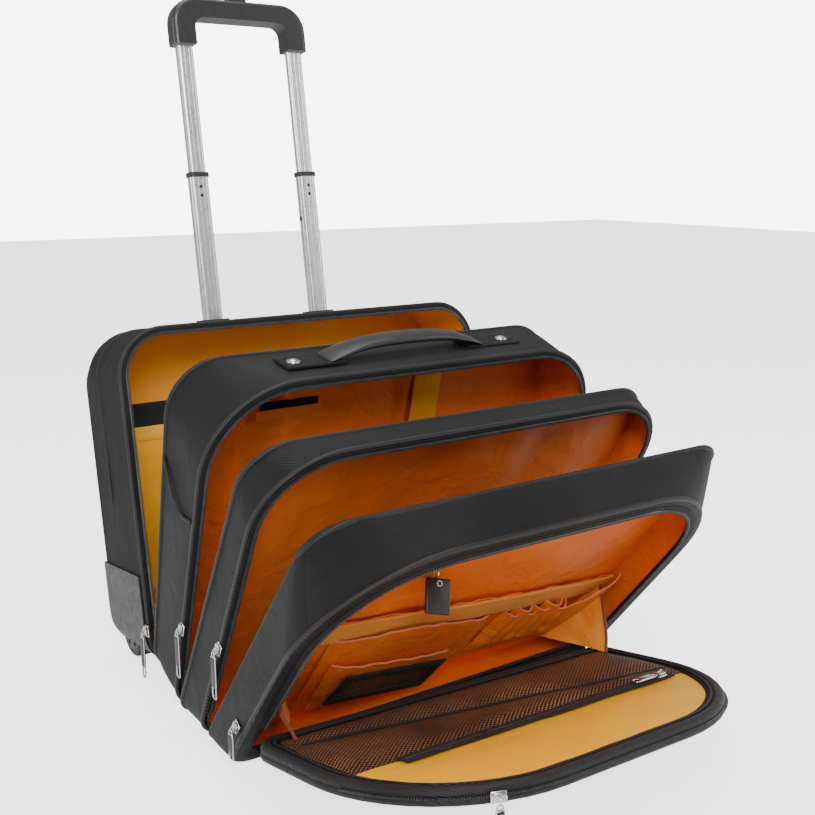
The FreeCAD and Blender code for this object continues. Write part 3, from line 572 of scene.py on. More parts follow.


# Lit copy of the one orange lining satin: its yellower colour is painted light on the rear compartment's
# walls.
lining_lit_amber = satin("lining_lit_amber", (1.0, 0.47, 0.010), (0.92, 0.33, 0.004), sheen=0.05)
shell_lining_sides = band("shell_lining_sides",
    shell_loops((0.0046, 0.03, 0.055, 0.077, 0.0885, 0.0966), 0.0058), cuts=2)


def over_wells(x, y, z):
    """How far the lining is pushed up and in by the two wheel housings."""
    reach = 0.0375
    side = abs(x) - 0.1995
    high = 0.0
    if -0.0185 < side:
        offset = Vector((0, y - 0.092, z - 0.0193))
        if offset.length < reach:
            high = math.sqrt(reach**2 - offset.y**2) + 0.0193 - z
    return high


sag(shell_lining_sides, shell_frame, lambda x, y, z, loose: (
    -math.copysign(0.004, x) * loose * max(0.0, ripple(x, y * 2, z, 0.07, 4)) if abs(x) > 0.2 else 0.0,
    0.0,
    over_wells(x, y, z) - 0.003 * loose * max(0.0, ripple(x, y, z, 0.06, 5)) * (1 if z > 0.3 else 0),
), margin=0.02)
lay_cloth(shell_lining_sides)
wear(shell_lining_sides, lining_lit_amber, "lining_orange", "shell", "shell_lining")
shell_lining_back = panel("shell_lining_back", outline(
    "lining_back", shell_frame, depth=0.0966, inset=0.0058, **dict(shell_rim, low=shell_low(0.0966))),
        shell_frame)
sag(shell_lining_back, shell_frame, lambda x, y, z, loose: (
    0.0, -0.005 * loose * max(-0.2, ripple(x, 0, z * 0.6, 0.075, 6) + 0.25), 0.0), margin=0.03)
lay_cloth(shell_lining_back)
wear(shell_lining_back, lining_lit_amber, "lining_orange", "shell")


def cut_sheet(name, place, left, right, low, high, depth, step=0.006):
    """A flat rectangle of cloth that stands in a leaning frame, ready to be shaped."""
    bpy.ops.object.select_all(action="DESELECT")
    bpy.ops.mesh.primitive_grid_add(
        x_subdivisions=max(2, round((right - left) / step)),
            y_subdivisions=max(2, round((high - low) / step)), size=1)
    sheet = bpy.context.object
    sheet.name = name
    sheet.data.transform(
        place @ Matrix.Translation(((left + right) / 2, depth, (low + high) / 2))
        @ Matrix.Rotation(math.radians(90), 4, "X") @ Matrix.Diagonal((right - left, high - low, 1, 1)))
    return sheet




def pocket_wrap(x, y, z, loose):
    """The flat sheet turns from the side wall round onto the back wall."""
    run = x + 0.30
    side, turn = 0.070, 0.012
    if run < side:
        target = (-0.2060, 0.016 + run)
    elif run < side + turn:
        share = (run - side) / turn * math.pi / 2
        target = (-0.2060 + 0.008 * (1 - math.cos(share)), 0.086 + 0.0045 * math.sin(share))
    else:
        target = (-0.198 + run - side - turn, 0.0905)
    bulge = 0.0035 * math.sin(math.pi * min(1, max(0, (z - 0.06) / 0.19))) * (1 + ripple(x, 0, z, 0.05, 7))
    return (target[0] - x, target[1] - bulge * (run >= side) - y, 0.0)


pocket_backing = cut_sheet("side_pocket_backing", shell_frame, -0.30, -0.153, 0.19, 0.262, 0.0)
sag(pocket_backing, shell_frame, pocket_wrap)
sag(pocket_backing, shell_frame, lambda x, y, z, loose: (-0.001, 0.0012, 0))
thicken(pocket_backing, 0.0006, 0.0)
lay_cloth(pocket_backing)
wear(pocket_backing, tape_black, "nylon_black", "shell")
# Lit copy of the lining satin: its yellow colour is painted light on the side pocket and on the flap lining,
# which face the lamps.
lining_lit_yellow = satin("lining_lit_yellow", (1.0, 0.52, 0.006), (0.94, 0.42, 0.003), crease=0.0012, sheen=0.03)
side_pocket = cut_sheet("side_pocket", shell_frame, -0.30, -0.150, 0.058, 0.236, 0.0)
sag(side_pocket, shell_frame, pocket_wrap)
thicken(side_pocket, 0.0012, 1.0)
lay_cloth(side_pocket)
wear(side_pocket, lining_lit_yellow, "lining_orange", "shell", "shell_pocket")
side_pocket_hem = cut_sheet("side_pocket_hem", shell_frame, -0.30, -0.150, 0.221, 0.2365, 0.0)
sag(side_pocket_hem, shell_frame, pocket_wrap)
sag(side_pocket_hem, shell_frame, lambda x, y, z, loose: (0.0006, -0.0009, 0))
thicken(side_pocket_hem, 0.0024, 0.0, bevel=0.0005)
lay_cloth(side_pocket_hem)
wear(side_pocket_hem, lining_lit_yellow, "lining_orange", "shell")

# ---- Middle section: a thick tray of ribbed twill with piped rims.
# Each section is hinged at its base to the one behind. Its walls are twill over thin foam, its rims are piped
# and carry half a zip, and its inside is lined.
twill = woven("twill_cloth", (0.011, 0.011, 0.012), (0.003, 0.003, 0.004), rib=270, twill=1.0,
              rib_height=0.0005, crease=0.0012, roughness=0.50, sheen=0.01, specular=0.22)
# Shaded copy of the lining satin: its redder, darker colour is painted shade deep inside the middle and
# organizer sections.
lining_orange = satin("lining_shaded_orange_cloth", (0.98, 0.23, 0.016), (0.86, 0.13, 0.008), crease=0.003,
    sheen=0.05)


def leaning(base, lean):
    return Matrix.Translation((0, base[0], base[1])) @ Matrix.Rotation(math.radians(lean), 4, "X")


def rim(height, upper, low=0.0):
    return dict(half=0.220, low=low, high=height, upper=upper, lower=0.030)


def tray_walls(name, rear, rear_rim, front, front_rim, front_depth, seed, body, nodes, loose_by=0.0022):
    """The outer cloth of a section between its two rims, and the black cloth over its back."""
    walls = band(name + "_walls", [
        outline("rear", rear, depth=-0.0036, **rear_rim),
            outline("front", front, depth=front_depth, **front_rim),
    ], cuts=11)
    sag(walls, rear, lambda x, y, z, loose: (
        math.copysign(loose_by, x) * loose * (0.25 + ripple(x, y, z, 0.075, seed)) if abs(x) > 0.17 else 0.0,
        0.0,
        loose_by * loose * (0.1 + ripple(x, y, z, 0.08, seed + 1)) if z > 0.2 else 0.0,
    ), margin=0.018)
    thicken(walls, 0.0024)
    lay_cloth(walls)
    wear(walls, twill, "twill_black", body, *nodes)
    back = panel(name + "_back", outline("back", rear, depth=-0.0046, inset=0.0022, **rear_rim), rear)
    sag(back, rear, lambda x, y, z,
        loose: (0.0, -0.0006 + 0.0015 * loose * ripple(x, 0, z, 0.09, seed + 2), 0.0), margin=0.03)
    thicken(back, 0.0012)
    lay_cloth(back)
    wear(back, twill, "divider_board", body)
    cords = join(name + "_piping", [
        cord_along("rear_cord", outline("rear_line", rear, depth=-0.0042, inset=0.0006, **rear_rim), 0.0025),
        cord_along("rear_cord_in", outline("rear_line_in", rear, depth=-0.0030, inset=0.0052, **rear_rim),
            0.0013),
        cord_along("front_cord",
            outline("front_line", front, depth=front_depth + 0.0012, inset=0.0006, **front_rim), 0.0025),
        cord_along("front_cord_in",
            outline("front_line_in", front, depth=front_depth - 0.0010, inset=0.0050, **front_rim), 0.0013),
    ])
    wear(cords, piping_black, "twill_black", body)
    return walls


def tray_lining(name, rear, rear_rim, front, front_rim, front_depth, seed, body, node, cloth, back_shape,
    wall_cloth=None):
    """The lining of a section: four loose walls and a back panel with its own folds."""
    sides = band(name + "_lining_sides", [
        outline("deep", rear, depth=-0.0086, inset=0.0058, **rear_rim),
        outline("mouth", front, depth=front_depth + 0.0006, inset=0.0060, **front_rim),
    ], cuts=12)
    sag(sides, rear, lambda x, y, z, loose: (
        -math.copysign(0.0045, x) * loose * max(0.0, ripple(x, y * 2.2, z * 0.8, 0.055, seed))
            if abs(x) > 0.18 else 0.0,
        0.0,
        -0.004 * loose * max(0.0, ripple(x, y * 2, z, 0.07, seed + 1)) if z > 0.2 else 0.0,
    ), margin=0.016)
    lay_cloth(sides)
    wear(sides, wall_cloth or cloth, "lining_orange", body, node)
    back = panel(name + "_lining_back", outline("deep_back", rear, depth=-0.0086, inset=0.0058, **rear_rim),
        rear, step=0.008)
    sag(back, rear, back_shape, margin=0.025)
    lay_cloth(back)
    wear(back, cloth, "lining_orange", body)
    return sides, back


a_rear, a_front = leaning((0.1015, 0.026), 13.9), leaning((0.043, 0.004), 18.96)
a_rear_rim, a_front_rim = rim(0.337, 0.050), rim(0.355, 0.086)
tray_walls("section_a", a_rear, a_rear_rim, a_front, a_front_rim, 0.0036, 11, "section_a",
    ["a_gusset", "a_base", "a_divider"])


def fold_line(x, centre, width, height):
    return height * math.exp(-((x - centre) / width) ** 2)


def section_a_folds(x, y, z, loose):
    """Upright folds and seams in the back panel of the middle section."""
    lift = fold_line(x, -0.150, 0.006, 0.006) + fold_line(x, -0.101, 0.005, 0.005) - fold_line(x, -0.126,
        0.010, 0.003)
    lift += fold_line(x, 0.033 + 0.02 * (z - 0.2), 0.004, 0.006) + fold_line(x, 0.077, 0.003, 0.004)
    lift += 0.006 * (0.35 + ripple(x * 1.3, 0, z * 0.45, 0.06, 21))
    return (0.0, -max(0.0, lift) * loose, 0.0)


tray_lining("section_a", a_rear, a_rear_rim, a_front, a_front_rim, 0.0036, 14, "section_a", "a_lining",
            lining_orange, section_a_folds)
sewn_zip("a_rear_zip", a_rear, a_rear_rim, -0.0020, "section_a", "a_zip", facing=-1)
sewn_zip("a_front_zip", a_front, a_front_rim, 0.0018, "section_a", None)
# a_strip is cut from the lit amber copy of the lining: a painted lit band down the back wall, between two of
# its folds.
for name, left, right, low, high, cloth in (
    ("a_slit", -0.132, -0.070, 0.283, 0.291, tape_black),
        ("a_slit_lip", -0.136, -0.066, 0.272, 0.283, lining_orange),
    ("a_strip", 0.041, 0.074, 0.02, 0.332, lining_lit_amber),
):
    strip = cut_sheet(name, a_rear, left, right, low, high, -0.0150)
    sag(strip, a_rear, lambda x, y, z, loose: (0.0, 0.0012 * ripple(x, y, z, 0.05, 24), 0.0))
    thicken(strip, 0.0012, 0.0, bevel=0.0003)
    lay_cloth(strip)
    wear(strip, cloth, "lining_orange", "section_a")

# ---- Laptop section: a thin tray with a padded lining.
# The same twill and piping as the middle section. The lining is quilted softly over foam, in upright folds.
b_rear, b_front = leaning((0.043, 0.004), 29.8), leaning((-0.014, 0.0), 27.6)
b_rear_rim, b_front_rim = rim(0.353, 0.042), rim(0.340, 0.073)
tray_walls("section_b", b_rear, b_rear_rim, b_front, b_front_rim, 0.0036, 31, "section_b",
    ["b_gusset", "b_base", "b_divider"],
           loose_by=0.0016)
# Shaded copy of the lining satin for the laptop section: its redder colour is painted shade.
lining_padded_shaded = satin("lining_padded_cloth", (0.98, 0.22, 0.018), (0.88, 0.14, 0.010), crease=0.002,
    patch=5.0, sheen=0.05)


def section_b_folds(x, y, z, loose):
    lift = 0.0075 * (0.45 + ripple(x * 1.5, 0, z * 0.35, 0.07, 33)) + 0.002 * (0.5 + 0.5 * math.cos(x * 70))
    return (0.0, -max(0.0, lift) * loose, 0.0)


b_sides, b_back = tray_lining("section_b", b_rear, b_rear_rim, b_front, b_front_rim, 0.0036, 35,
    "section_b", "b_lining",
                              lining_padded_shaded, section_b_folds)
sewn_zip("b_rear_zip", b_rear, b_rear_rim, -0.0020, "section_b", "b_zip", facing=-1)
sewn_zip("b_front_zip", b_front, b_front_rim, 0.0018, "section_b", None)

# ---- Organizer section: a thin tray with a bordered front and a wide rounded opening.
# Twill walls and a padded twill border. The opening's zip runs round the border's inner edge, and its
# lower ends come round onto the sides.
c_rear = leaning((-0.014, 0.0), 38.6)


def floor_height(depth):
    return depth * math.tan(math.radians(38.6))


c_rear_rim = rim(0.352, 0.036, floor_height(0.0036))
c_deep_rim = rim(0.352, 0.036, floor_height(0.0086))
c_front_rim = rim(0.344, 0.118, floor_height(0.038))
c_face_rim = rim(0.344, 0.118, floor_height(0.043))
c_opening = dict(half=0.203, low=0.062, high=0.331, upper=0.104, lower=0.008)
c_walls = band("section_c_walls", [
    outline("rear", c_rear, depth=-0.0036, inset=0.0002, **c_rear_rim),
    outline("front", c_rear, depth=-0.0415, inset=0.0006, **rim(0.344, 0.118, floor_height(0.0415))),
], cuts=9)
sag(c_walls, c_rear, lambda x, y, z, loose: (
    math.copysign(0.0016, x) * loose * (0.2 + ripple(x, y, z, 0.07, 41)) if abs(x) > 0.17 else 0.0, 0.0,
    0.0016 * loose * ripple(x, y, z, 0.08, 42) if z > 0.2 else 0.0), margin=0.015)
thicken(c_walls, 0.0024)
lay_cloth(c_walls)
wear(c_walls, twill, "twill_black", "section_c", "c_gusset", "c_base", "c_divider")
c_back = panel("section_c_back", outline("back", c_rear, depth=-0.0046, inset=0.0024, **c_rear_rim), c_rear)
thicken(c_back, 0.0012)
lay_cloth(c_back)
wear(c_back, twill, "divider_board", "section_c")
c_border = band("section_c_border", [
    outline("edge", c_rear, depth=-0.0418, inset=0.0008, **c_face_rim),
        outline("opening", c_rear, depth=-0.0428, **c_opening),
], cuts=5)
sag(c_border, c_rear, lambda x, y, z, loose: (0.0, -0.0022 * loose, 0.0), margin=0.012)
thicken(c_border, 0.0030, 0.0)
lay_cloth(c_border)
wear(c_border, twill, "twill_black", "section_c", "c_border")
c_piping = join("section_c_piping", [
    cord_along("rear_cord", outline("rear_line", c_rear, depth=-0.0042, inset=0.0026, **c_rear_rim), 0.0025),
    cord_along("face_cord", outline("face_line", c_rear, depth=-0.0418, inset=0.0020, **c_face_rim), 0.0026,
               keep=above(c_rear, 0.05)),
])
wear(c_piping, piping_black, "twill_black", "section_c")
sewn_zip("c_rear_zip", c_rear, c_rear_rim, -0.0020, "section_c", "c_zip", facing=-1)
sewn_zip("c_opening_zip", c_rear,
    dict(c_opening, half=0.2095, high=0.3375, low=0.055, upper=0.1105, lower=0.0145),
         -0.0452, "section_c", None, inset=0.0085, facing=1, low=0.104)
c_sides = band("section_c_lining_sides", [
    outline("deep", c_rear, depth=-0.0086, inset=0.0058, **c_deep_rim),
    outline("front", c_rear, depth=-0.0380, inset=0.0060, **c_front_rim),
    outline("mouth", c_rear, depth=-0.0405, inset=-0.0012, **c_opening),
], cuts=4)
lay_cloth(c_sides)
wear(c_sides, lining_orange, "lining_orange", "section_c", "c_lining")
c_lining_back = panel("section_c_lining_back",
    outline("deep_back", c_rear, depth=-0.0086, inset=0.0058, **c_deep_rim), c_rear, step=0.008)
sag(c_lining_back, c_rear, lambda x, y, z, loose: (
    0.0, -0.005 * loose * max(-0.3, ripple(x, 0, z * 1.4, 0.08, 45) + 0.3), 0.0), margin=0.03)
lay_cloth(c_lining_back)
wear(c_lining_back, lining_orange, "lining_orange", "section_c")

# ---- Organizer pockets, sewn on the divider inside the front section.
# A wide main pocket with a broad turned hem, a gathered front pocket, a framed mesh window, a fan of pen
# pleats and a small corner pocket, all of the same satin cloth with bound edges.
# The hem is the same satin: its lighter, yellower colour is painted light on the hem's top.
lining_hem_lit = satin("lining_hem_cloth", (0.86, 0.34, 0.045), (0.66, 0.20, 0.02), crease=0.0015)
binding_rose = satin("binding_rose_cloth", (0.85, 0.25, 0.10), (0.70, 0.15, 0.05), crease=0.0006)


def main_edge(x):
    """Height of the main pocket's sloping top edge."""
    return 0.207 - 0.175 * (x + 0.150)


def pocket_sheet(name, left, right, low, top, depth, bulge, seed, cloth, thick=0.0012):
    """A pocket of cloth in front of the divider: sewn low, loose and standing off at its top edge."""
    sheet = cut_sheet(name, c_rear, left, right, 0.0, 0.1, -depth, step=0.005)

    def shape(x, y, z, loose):
        share = z / 0.1
        high = top(x) if callable(top) else top
        out = bulge * (0.25 + 0.75 * share) * math.sin(math.pi
            * (x - left) / (right - left)) ** 0.5 if left < x < right else 0.0
        wave = 0.0022 * share * ripple(x * 1.8, 0, share * 0.02, 0.03, seed)
        return (0.0, -out - wave,
            low + (high - low) * share + 0.0012 * share * ripple(x * 4, 0, 0, 0.03, seed + 1) - z)

    sag(sheet, c_rear, shape)
    edge = bmesh.new()
    edge.from_mesh(sheet.data)
    back = c_rear.inverted()
    points = sorted(((back @ v.co).x, tuple(v.co)) for v in edge.verts if v.is_boundary and
                    (back @ v.co).z > low + ((top((back @ v.co).x) if callable(top) else top) - low) * 0.97)
    edge.free()
    thicken(sheet, thick, 0.0)
    lay_cloth(sheet)
    wear(sheet, cloth, "lining_orange", "section_c")
    return sheet, [Vector(point) for x, point in points]


def edge_cord(name, points, radius, cloth, body, slot="lining_orange"):
    """A thin bound edge through points that lie in order."""
    line = bpy.data.curves.new(name, "CURVE")
    line.dimensions = "3D"
    spline = line.splines.new("POLY")
    spline.points.add(len(points) - 1)
    for knot, point in zip(spline.points, points):
        knot.co = (*point, 1)
    line.bevel_depth = radius
    line.bevel_resolution = 2
    line.use_fill_caps = True
    cord = bpy.data.objects.new(name, line)
    bpy.context.collection.objects.link(cord)
    work_on(cord, "OBJECT")
    bpy.ops.object.convert(target="MESH")
    bpy.ops.object.shade_smooth()
    wear(cord, cloth, slot, body)
    return cord


main_pocket, main_top = pocket_sheet("main_pocket", -0.203, 0.203, 0.058, main_edge, 0.0125, 0.004, 51,
    lining_orange)
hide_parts("c_pocket_panel")
hem_sheet = cut_sheet("main_pocket_hem", c_rear, -0.203, 0.203, 0.0, 0.028, -0.0142, step=0.004)
sag(hem_sheet, c_rear, lambda x, y, z, loose: (
    0.0, -0.004 * math.sin(math.pi * (x + 0.203) / 0.406) ** 0.5 - 0.0012 * ripple(x, z, 0, 0.05, 53),
        main_edge(x) - 0.0275))
thicken(hem_sheet, 0.0026, 0.0, bevel=0.0006)
lay_cloth(hem_sheet)
wear(hem_sheet, lining_hem_lit, "lining_orange", "section_c")

front_pocket, front_top = pocket_sheet(
    "front_pocket", -0.150, 0.038, 0.060,
        lambda x: 0.172 - 0.22 * (x + 0.10) + 0.012 * math.sin((x + 0.15) * 17) ** 2,
    0.0175, 0.006, 55, lining_orange)
edge_cord("front_pocket_binding", front_top, 0.0011, binding_rose, "section_c")
window_pocket, window_top = pocket_sheet("window_pocket", -0.140, 0.004, 0.064,
    lambda x: 0.145 - 0.30 * (x + 0.14) ,
                                         0.0235, 0.004, 57, lining_orange)
edge_cord("window_pocket_binding", window_top, 0.0011, binding_rose, "section_c")
window_place = c_rear @ Matrix.Translation((-0.064, -0.0300, 0.092)) @ Matrix.Rotation(math.radians(13), 4,
    "Y")


def mesh_cloth(name, thread, hole, pitch, coordinate="UV"):
    """Open knitted mesh: dark threads round small holes, which are filled with a dim orange-brown, darker in
    soft random patches, that paints the cloth behind the knit in shade.
    """
    material = bpy.data.materials.new(name)
    material.use_nodes = True
    nodes, links = material.node_tree.nodes, material.node_tree.links
    shader = nodes["Principled BSDF"]
    shader.inputs["Specular IOR Level"].default_value = 0.3
    where = place_node(material, "ShaderNodeTexCoord")
    turn = place_node(material, "ShaderNodeMapping")
    turn.inputs["Rotation"].default_value = (0, 0, math.radians(38))
    turn.inputs["Scale"].default_value = (1.0, 1.5, 1.0)
    cells = place_node(material, "ShaderNodeTexVoronoi", Scale=1 / pitch, Randomness=0.12)
    links.new(where.outputs[coordinate], turn.inputs["Vector"])
    links.new(turn.outputs["Vector"], cells.inputs["Vector"])
    open_part = place_node(material, "ShaderNodeMapRange")
    open_part.inputs["From Min"].default_value = 0.36
    open_part.inputs["From Max"].default_value = 0.26
    links.new(cells.outputs["Distance"], open_part.inputs["Value"])
    folds = place_group(material, soft_unevenness, Patch_Scale=16.0)
    links.new(where.outputs["Object"], folds.inputs["Vector"])
    # Painted shade of the cloth behind the holes, darker in soft random patches.
    shaded_cloth_behind = place_node(material, "ShaderNodeMix", data_type="RGBA")
    shaded_cloth_behind.inputs["A"].default_value = (*[c * 0.35 for c in hole], 1)
    shaded_cloth_behind.inputs["B"].default_value = (*hole, 1)
    links.new(folds.outputs["Patch"], shaded_cloth_behind.inputs["Factor"])
    tone = place_node(material, "ShaderNodeMix", data_type="RGBA")
    tone.inputs["A"].default_value = (*thread, 1)
    links.new(shaded_cloth_behind.outputs["Result"], tone.inputs["B"])
    links.new(open_part.outputs["Result"], tone.inputs["Factor"])
    links.new(tone.outputs["Result"], shader.inputs["Base Color"])
    rough = place_node(material, "ShaderNodeMapRange")
    rough.inputs["To Min"].default_value = 0.45
    rough.inputs["To Max"].default_value = 0.8
    links.new(open_part.outputs["Result"], rough.inputs["Value"])
    links.new(rough.outputs["Result"], shader.inputs["Roughness"])
    bump = place_node(material, "ShaderNodeBump", Strength=0.7, Distance=0.0006)
    bump.invert = True
    links.new(open_part.outputs["Result"], bump.inputs["Height"])
    links.new(bump.outputs["Normal"], shader.inputs["Normal"])
    return material


# The hole colour is painted shade: the bright lining behind the knit, dimmed to orange-brown.
pocket_mesh = mesh_cloth("pocket_mesh", (0.012, 0.011, 0.011), (0.42, 0.20, 0.09), 0.0036)
window_frame = cut_sheet("window_frame", window_place, -0.062, 0.062, -0.028, 0.020, 0.0, step=0.02)
work_on(window_frame)
bpy.ops.mesh.select_all(action="SELECT")
bpy.ops.mesh.dissolve_limited(angle_limit=0.1)
bpy.ops.mesh.inset(thickness=0.0085)
bpy.ops.mesh.delete(type="FACE")
bpy.ops.object.mode_set(mode="OBJECT")
thicken(window_frame, 0.0022, 0.0, bevel=0.0006)
lay_cloth(window_frame)
wear(window_frame, tape_black, "mesh_black", "section_c", "c_small_pockets")
window_mesh = cut_sheet("window_mesh", window_place, -0.057, 0.057, -0.024, 0.016, 0.0003)
sag(window_mesh, window_place, lambda x, y, z,
    loose: (0.0, -0.0006 * loose * ripple(x, 0, z, 0.03, 59), 0.0), margin=0.01)
lay_cloth(window_mesh)
wear(window_mesh, pocket_mesh, "mesh_black", "section_c")

for index in range(6):
    lean_over = math.radians(26 - 5 * index)
    pleat_place = (c_rear @ Matrix.Translation((0.050 + 0.0155 * index, -0.0165 - 0.0010 * index, 0.066))
                   @ Matrix.Rotation(lean_over * 0.55, 4, "Y"))
    pleat = cut_sheet("pen_pleat_%d" % (index + 1), pleat_place, -0.011, 0.011, 0.0,
        0.074 + 0.006 * math.sin(index * 2.1), 0.0, step=0.003)
    sag(pleat, pleat_place, lambda x, y, z, loose: (
        0.0, -0.0085 * max(0.0, 1 - (x / 0.011) ** 2) * min(1.0, z / 0.03 + 0.2) - 0.0012
            * ripple(x, 0, z, 0.02, 61 + index), 0.0))
    back = pleat_place.inverted()
    rim_points = sorted(((back @ v.co).x, tuple(v.co)) for v in pleat.data.vertices
                        if (back @ v.co).z > 0.0738 + 0.006 * math.sin(index * 2.1) - 0.0005)
    thicken(pleat, 0.0009, 0.0)
    lay_cloth(pleat)
    wear(pleat, lining_orange, "lining_orange", "section_c")
    if len(rim_points) > 2:
        edge_cord("pen_pleat_binding_%d" % (index + 1), [Vector(p) for x, p in rim_points], 0.0009,
            binding_rose, "section_c")
corner_pocket, corner_top = pocket_sheet("corner_pocket", 0.134, 0.203, 0.060,
    lambda x: 0.118 + 0.55 * (x - 0.134),
                                         0.0200, 0.007, 63, lining_orange)
edge_cord("corner_pocket_binding", corner_top, 0.0011, binding_rose, "section_c")

# ---- Key leash: a short clip sewn at the top of the organizer, with a leather fob.
# A thin leash ends in a small metal swivel, and a flat leather tag hangs from it on a ring.
fob_low, fob_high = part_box("key_fob")
fob_middle = (fob_low + fob_high) / 2


def chrome_finish(name, colour, roughness):
    """Plated metal with faint handling marks."""
    material = bpy.data.materials.new(name)
    material.use_nodes = True
    nodes, links = material.node_tree.nodes, material.node_tree.links
    shader = nodes["Principled BSDF"]
    shader.inputs["Metallic"].default_value = 1.0
    where = place_node(material, "ShaderNodeTexCoord")
    marks = place_group(material, soft_unevenness, Patch_Scale=60.0, Crease_Scale=220.0)
    links.new(where.outputs["Object"], marks.inputs["Vector"])
    rough = place_node(material, "ShaderNodeMapRange")
    rough.inputs["To Min"].default_value = roughness * 0.6
    rough.inputs["To Max"].default_value = roughness * 1.5
    links.new(marks.outputs["Crease"], rough.inputs["Value"])
    links.new(rough.outputs["Result"], shader.inputs["Roughness"])
    tone = place_node(material, "ShaderNodeMix", data_type="RGBA")
    tone.inputs["A"].default_value = (*[c * 0.8 for c in colour], 1)
    tone.inputs["B"].default_value = (*colour, 1)
    links.new(marks.outputs["Patch"], tone.inputs["Factor"])
    links.new(tone.outputs["Result"], shader.inputs["Base Color"])
    return material


def hide_finish(name, colour, roughness, grain=260.0):
    """Glossy coated leather-cloth: fine pebbled grain, duller in its hollows."""
    material = bpy.data.materials.new(name)
    material.use_nodes = True
    nodes, links = material.node_tree.nodes, material.node_tree.links
    shader = nodes["Principled BSDF"]
    shader.inputs["Specular IOR Level"].default_value = 0.55
    where = place_node(material, "ShaderNodeTexCoord")
    pebbles = place_node(material, "ShaderNodeTexVoronoi", Scale=grain)
    wearing = place_group(material, soft_unevenness, Patch_Scale=20.0, Crease_Scale=50.0)
    links.new(where.outputs["Object"], pebbles.inputs["Vector"])
    links.new(where.outputs["Object"], wearing.inputs["Vector"])
    tone = place_node(material, "ShaderNodeMix", data_type="RGBA")
    tone.inputs["A"].default_value = (*[c * 0.5 for c in colour], 1)
    tone.inputs["B"].default_value = (*colour, 1)
    links.new(wearing.outputs["Patch"], tone.inputs["Factor"])
    links.new(tone.outputs["Result"], shader.inputs["Base Color"])
    rough = place_node(material, "ShaderNodeMapRange")
    rough.inputs["To Min"].default_value = roughness
    rough.inputs["To Max"].default_value = roughness * 1.6
    links.new(wearing.outputs["Crease"], rough.inputs["Value"])
    links.new(rough.outputs["Result"], shader.inputs["Roughness"])
    bump = place_node(material, "ShaderNodeBump", Strength=0.35, Distance=0.0004)
    links.new(pebbles.outputs["Distance"], bump.inputs["Height"])
    links.new(bump.outputs["Normal"], shader.inputs["Normal"])
    return material


chrome = chrome_finish("chrome_plate", (0.72, 0.72, 0.73), 0.16)
hide_black = hide_finish("leather_cloth_black", (0.030, 0.028, 0.028), 0.28)


def block(name, size, place, bevel, segments=3):
    """A solid with rounded edges: size along x, y and z, in the frame of place."""
    bpy.ops.object.select_all(action="DESELECT")
    bpy.ops.mesh.primitive_cube_add(size=1)
    piece = bpy.context.object
    piece.name = name
    piece.data.transform(Matrix.Diagonal((*size, 1)))
    work_on(piece)
    bpy.ops.mesh.select_all(action="SELECT")
    bpy.ops.mesh.bevel(offset=bevel, segments=segments, affect="EDGES")
    bpy.ops.object.mode_set(mode="OBJECT")
    piece.data.transform(place)
    bpy.ops.object.shade_smooth_by_angle(angle=math.radians(40))
    return piece


def ring(name, place, major, minor, stretch=1.0):
    """A round wire ring about the z axis of place."""
    bpy.ops.object.select_all(action="DESELECT")
    bpy.ops.mesh.primitive_torus_add(major_radius=major, minor_radius=minor, major_segments=28,
        minor_segments=8)
    piece = bpy.context.object
    piece.name = name
    piece.data.transform(place @ Matrix.Diagonal((1, stretch, 1, 1)))
    bpy.ops.object.shade_smooth()
    return piece


fob_place = Matrix.Translation((fob_middle.x, fob_middle.y - 0.0030,
    fob_low.z + 0.0145)) @ Matrix.Rotation(math.radians(-24), 4, "X")
fob_tag = join("key_fob_tag", [
    block("tag", (0.0235, 0.0040, 0.030), fob_place @ Matrix.Rotation(math.radians(18), 4, "Y"), 0.0014),
    block("tag_keeper", (0.0100, 0.0056, 0.007), fob_place @ Matrix.Rotation(math.radians(18), 4, "Y")
          @ Matrix.Translation((0, 0, 0.0105)), 0.0010),
])
wear(fob_tag, hide_black, "leatherette", "key_fob", "key_fob")
fob_ring = join("key_fob_ring", [
    ring("split_ring", Matrix.Translation((fob_middle.x, fob_middle.y, fob_high.z - 0.0042))
         @ Matrix.Rotation(math.radians(90), 4, "Y"), 0.0042, 0.0007),
    ring("eyelet",
        fob_place @ Matrix.Rotation(math.radians(18), 4, "Y") @ Matrix.Translation((0, -0.0022, 0.0105))
         @ Matrix.Rotation(math.radians(90), 4, "X"), 0.0022, 0.0008),
])
wear(fob_ring, chrome, "slider_metal", "key_fob")
leash_top = c_rear @ Vector((-0.076, -0.0110, 0.296))
leash_low = Vector((fob_middle.x, fob_middle.y + 0.001, fob_high.z + 0.004))
edge_cord("key_leash",
    [leash_top.lerp(leash_low, i / 6) + Vector((0.001 * math.sin(i), 0.003 * math.sin(i * math.pi / 6), 0))
                        for i in range(7)], 0.0013, piping_black, "section_c", "nylon_black")
leash_swivel = join("key_leash_swivel", [
    block("swivel", (0.0036, 0.0036, 0.009), Matrix.Translation(leash_low + Vector((0, 0, 0.001))), 0.0012),
    ring("swivel_loop",
        Matrix.Translation(leash_low + Vector((0, 0, -0.0048))) @ Matrix.Rotation(math.radians(90), 4, "X"),
         0.0028, 0.0006),
])
wear(leash_swivel, chrome, "slider_metal", "section_c")

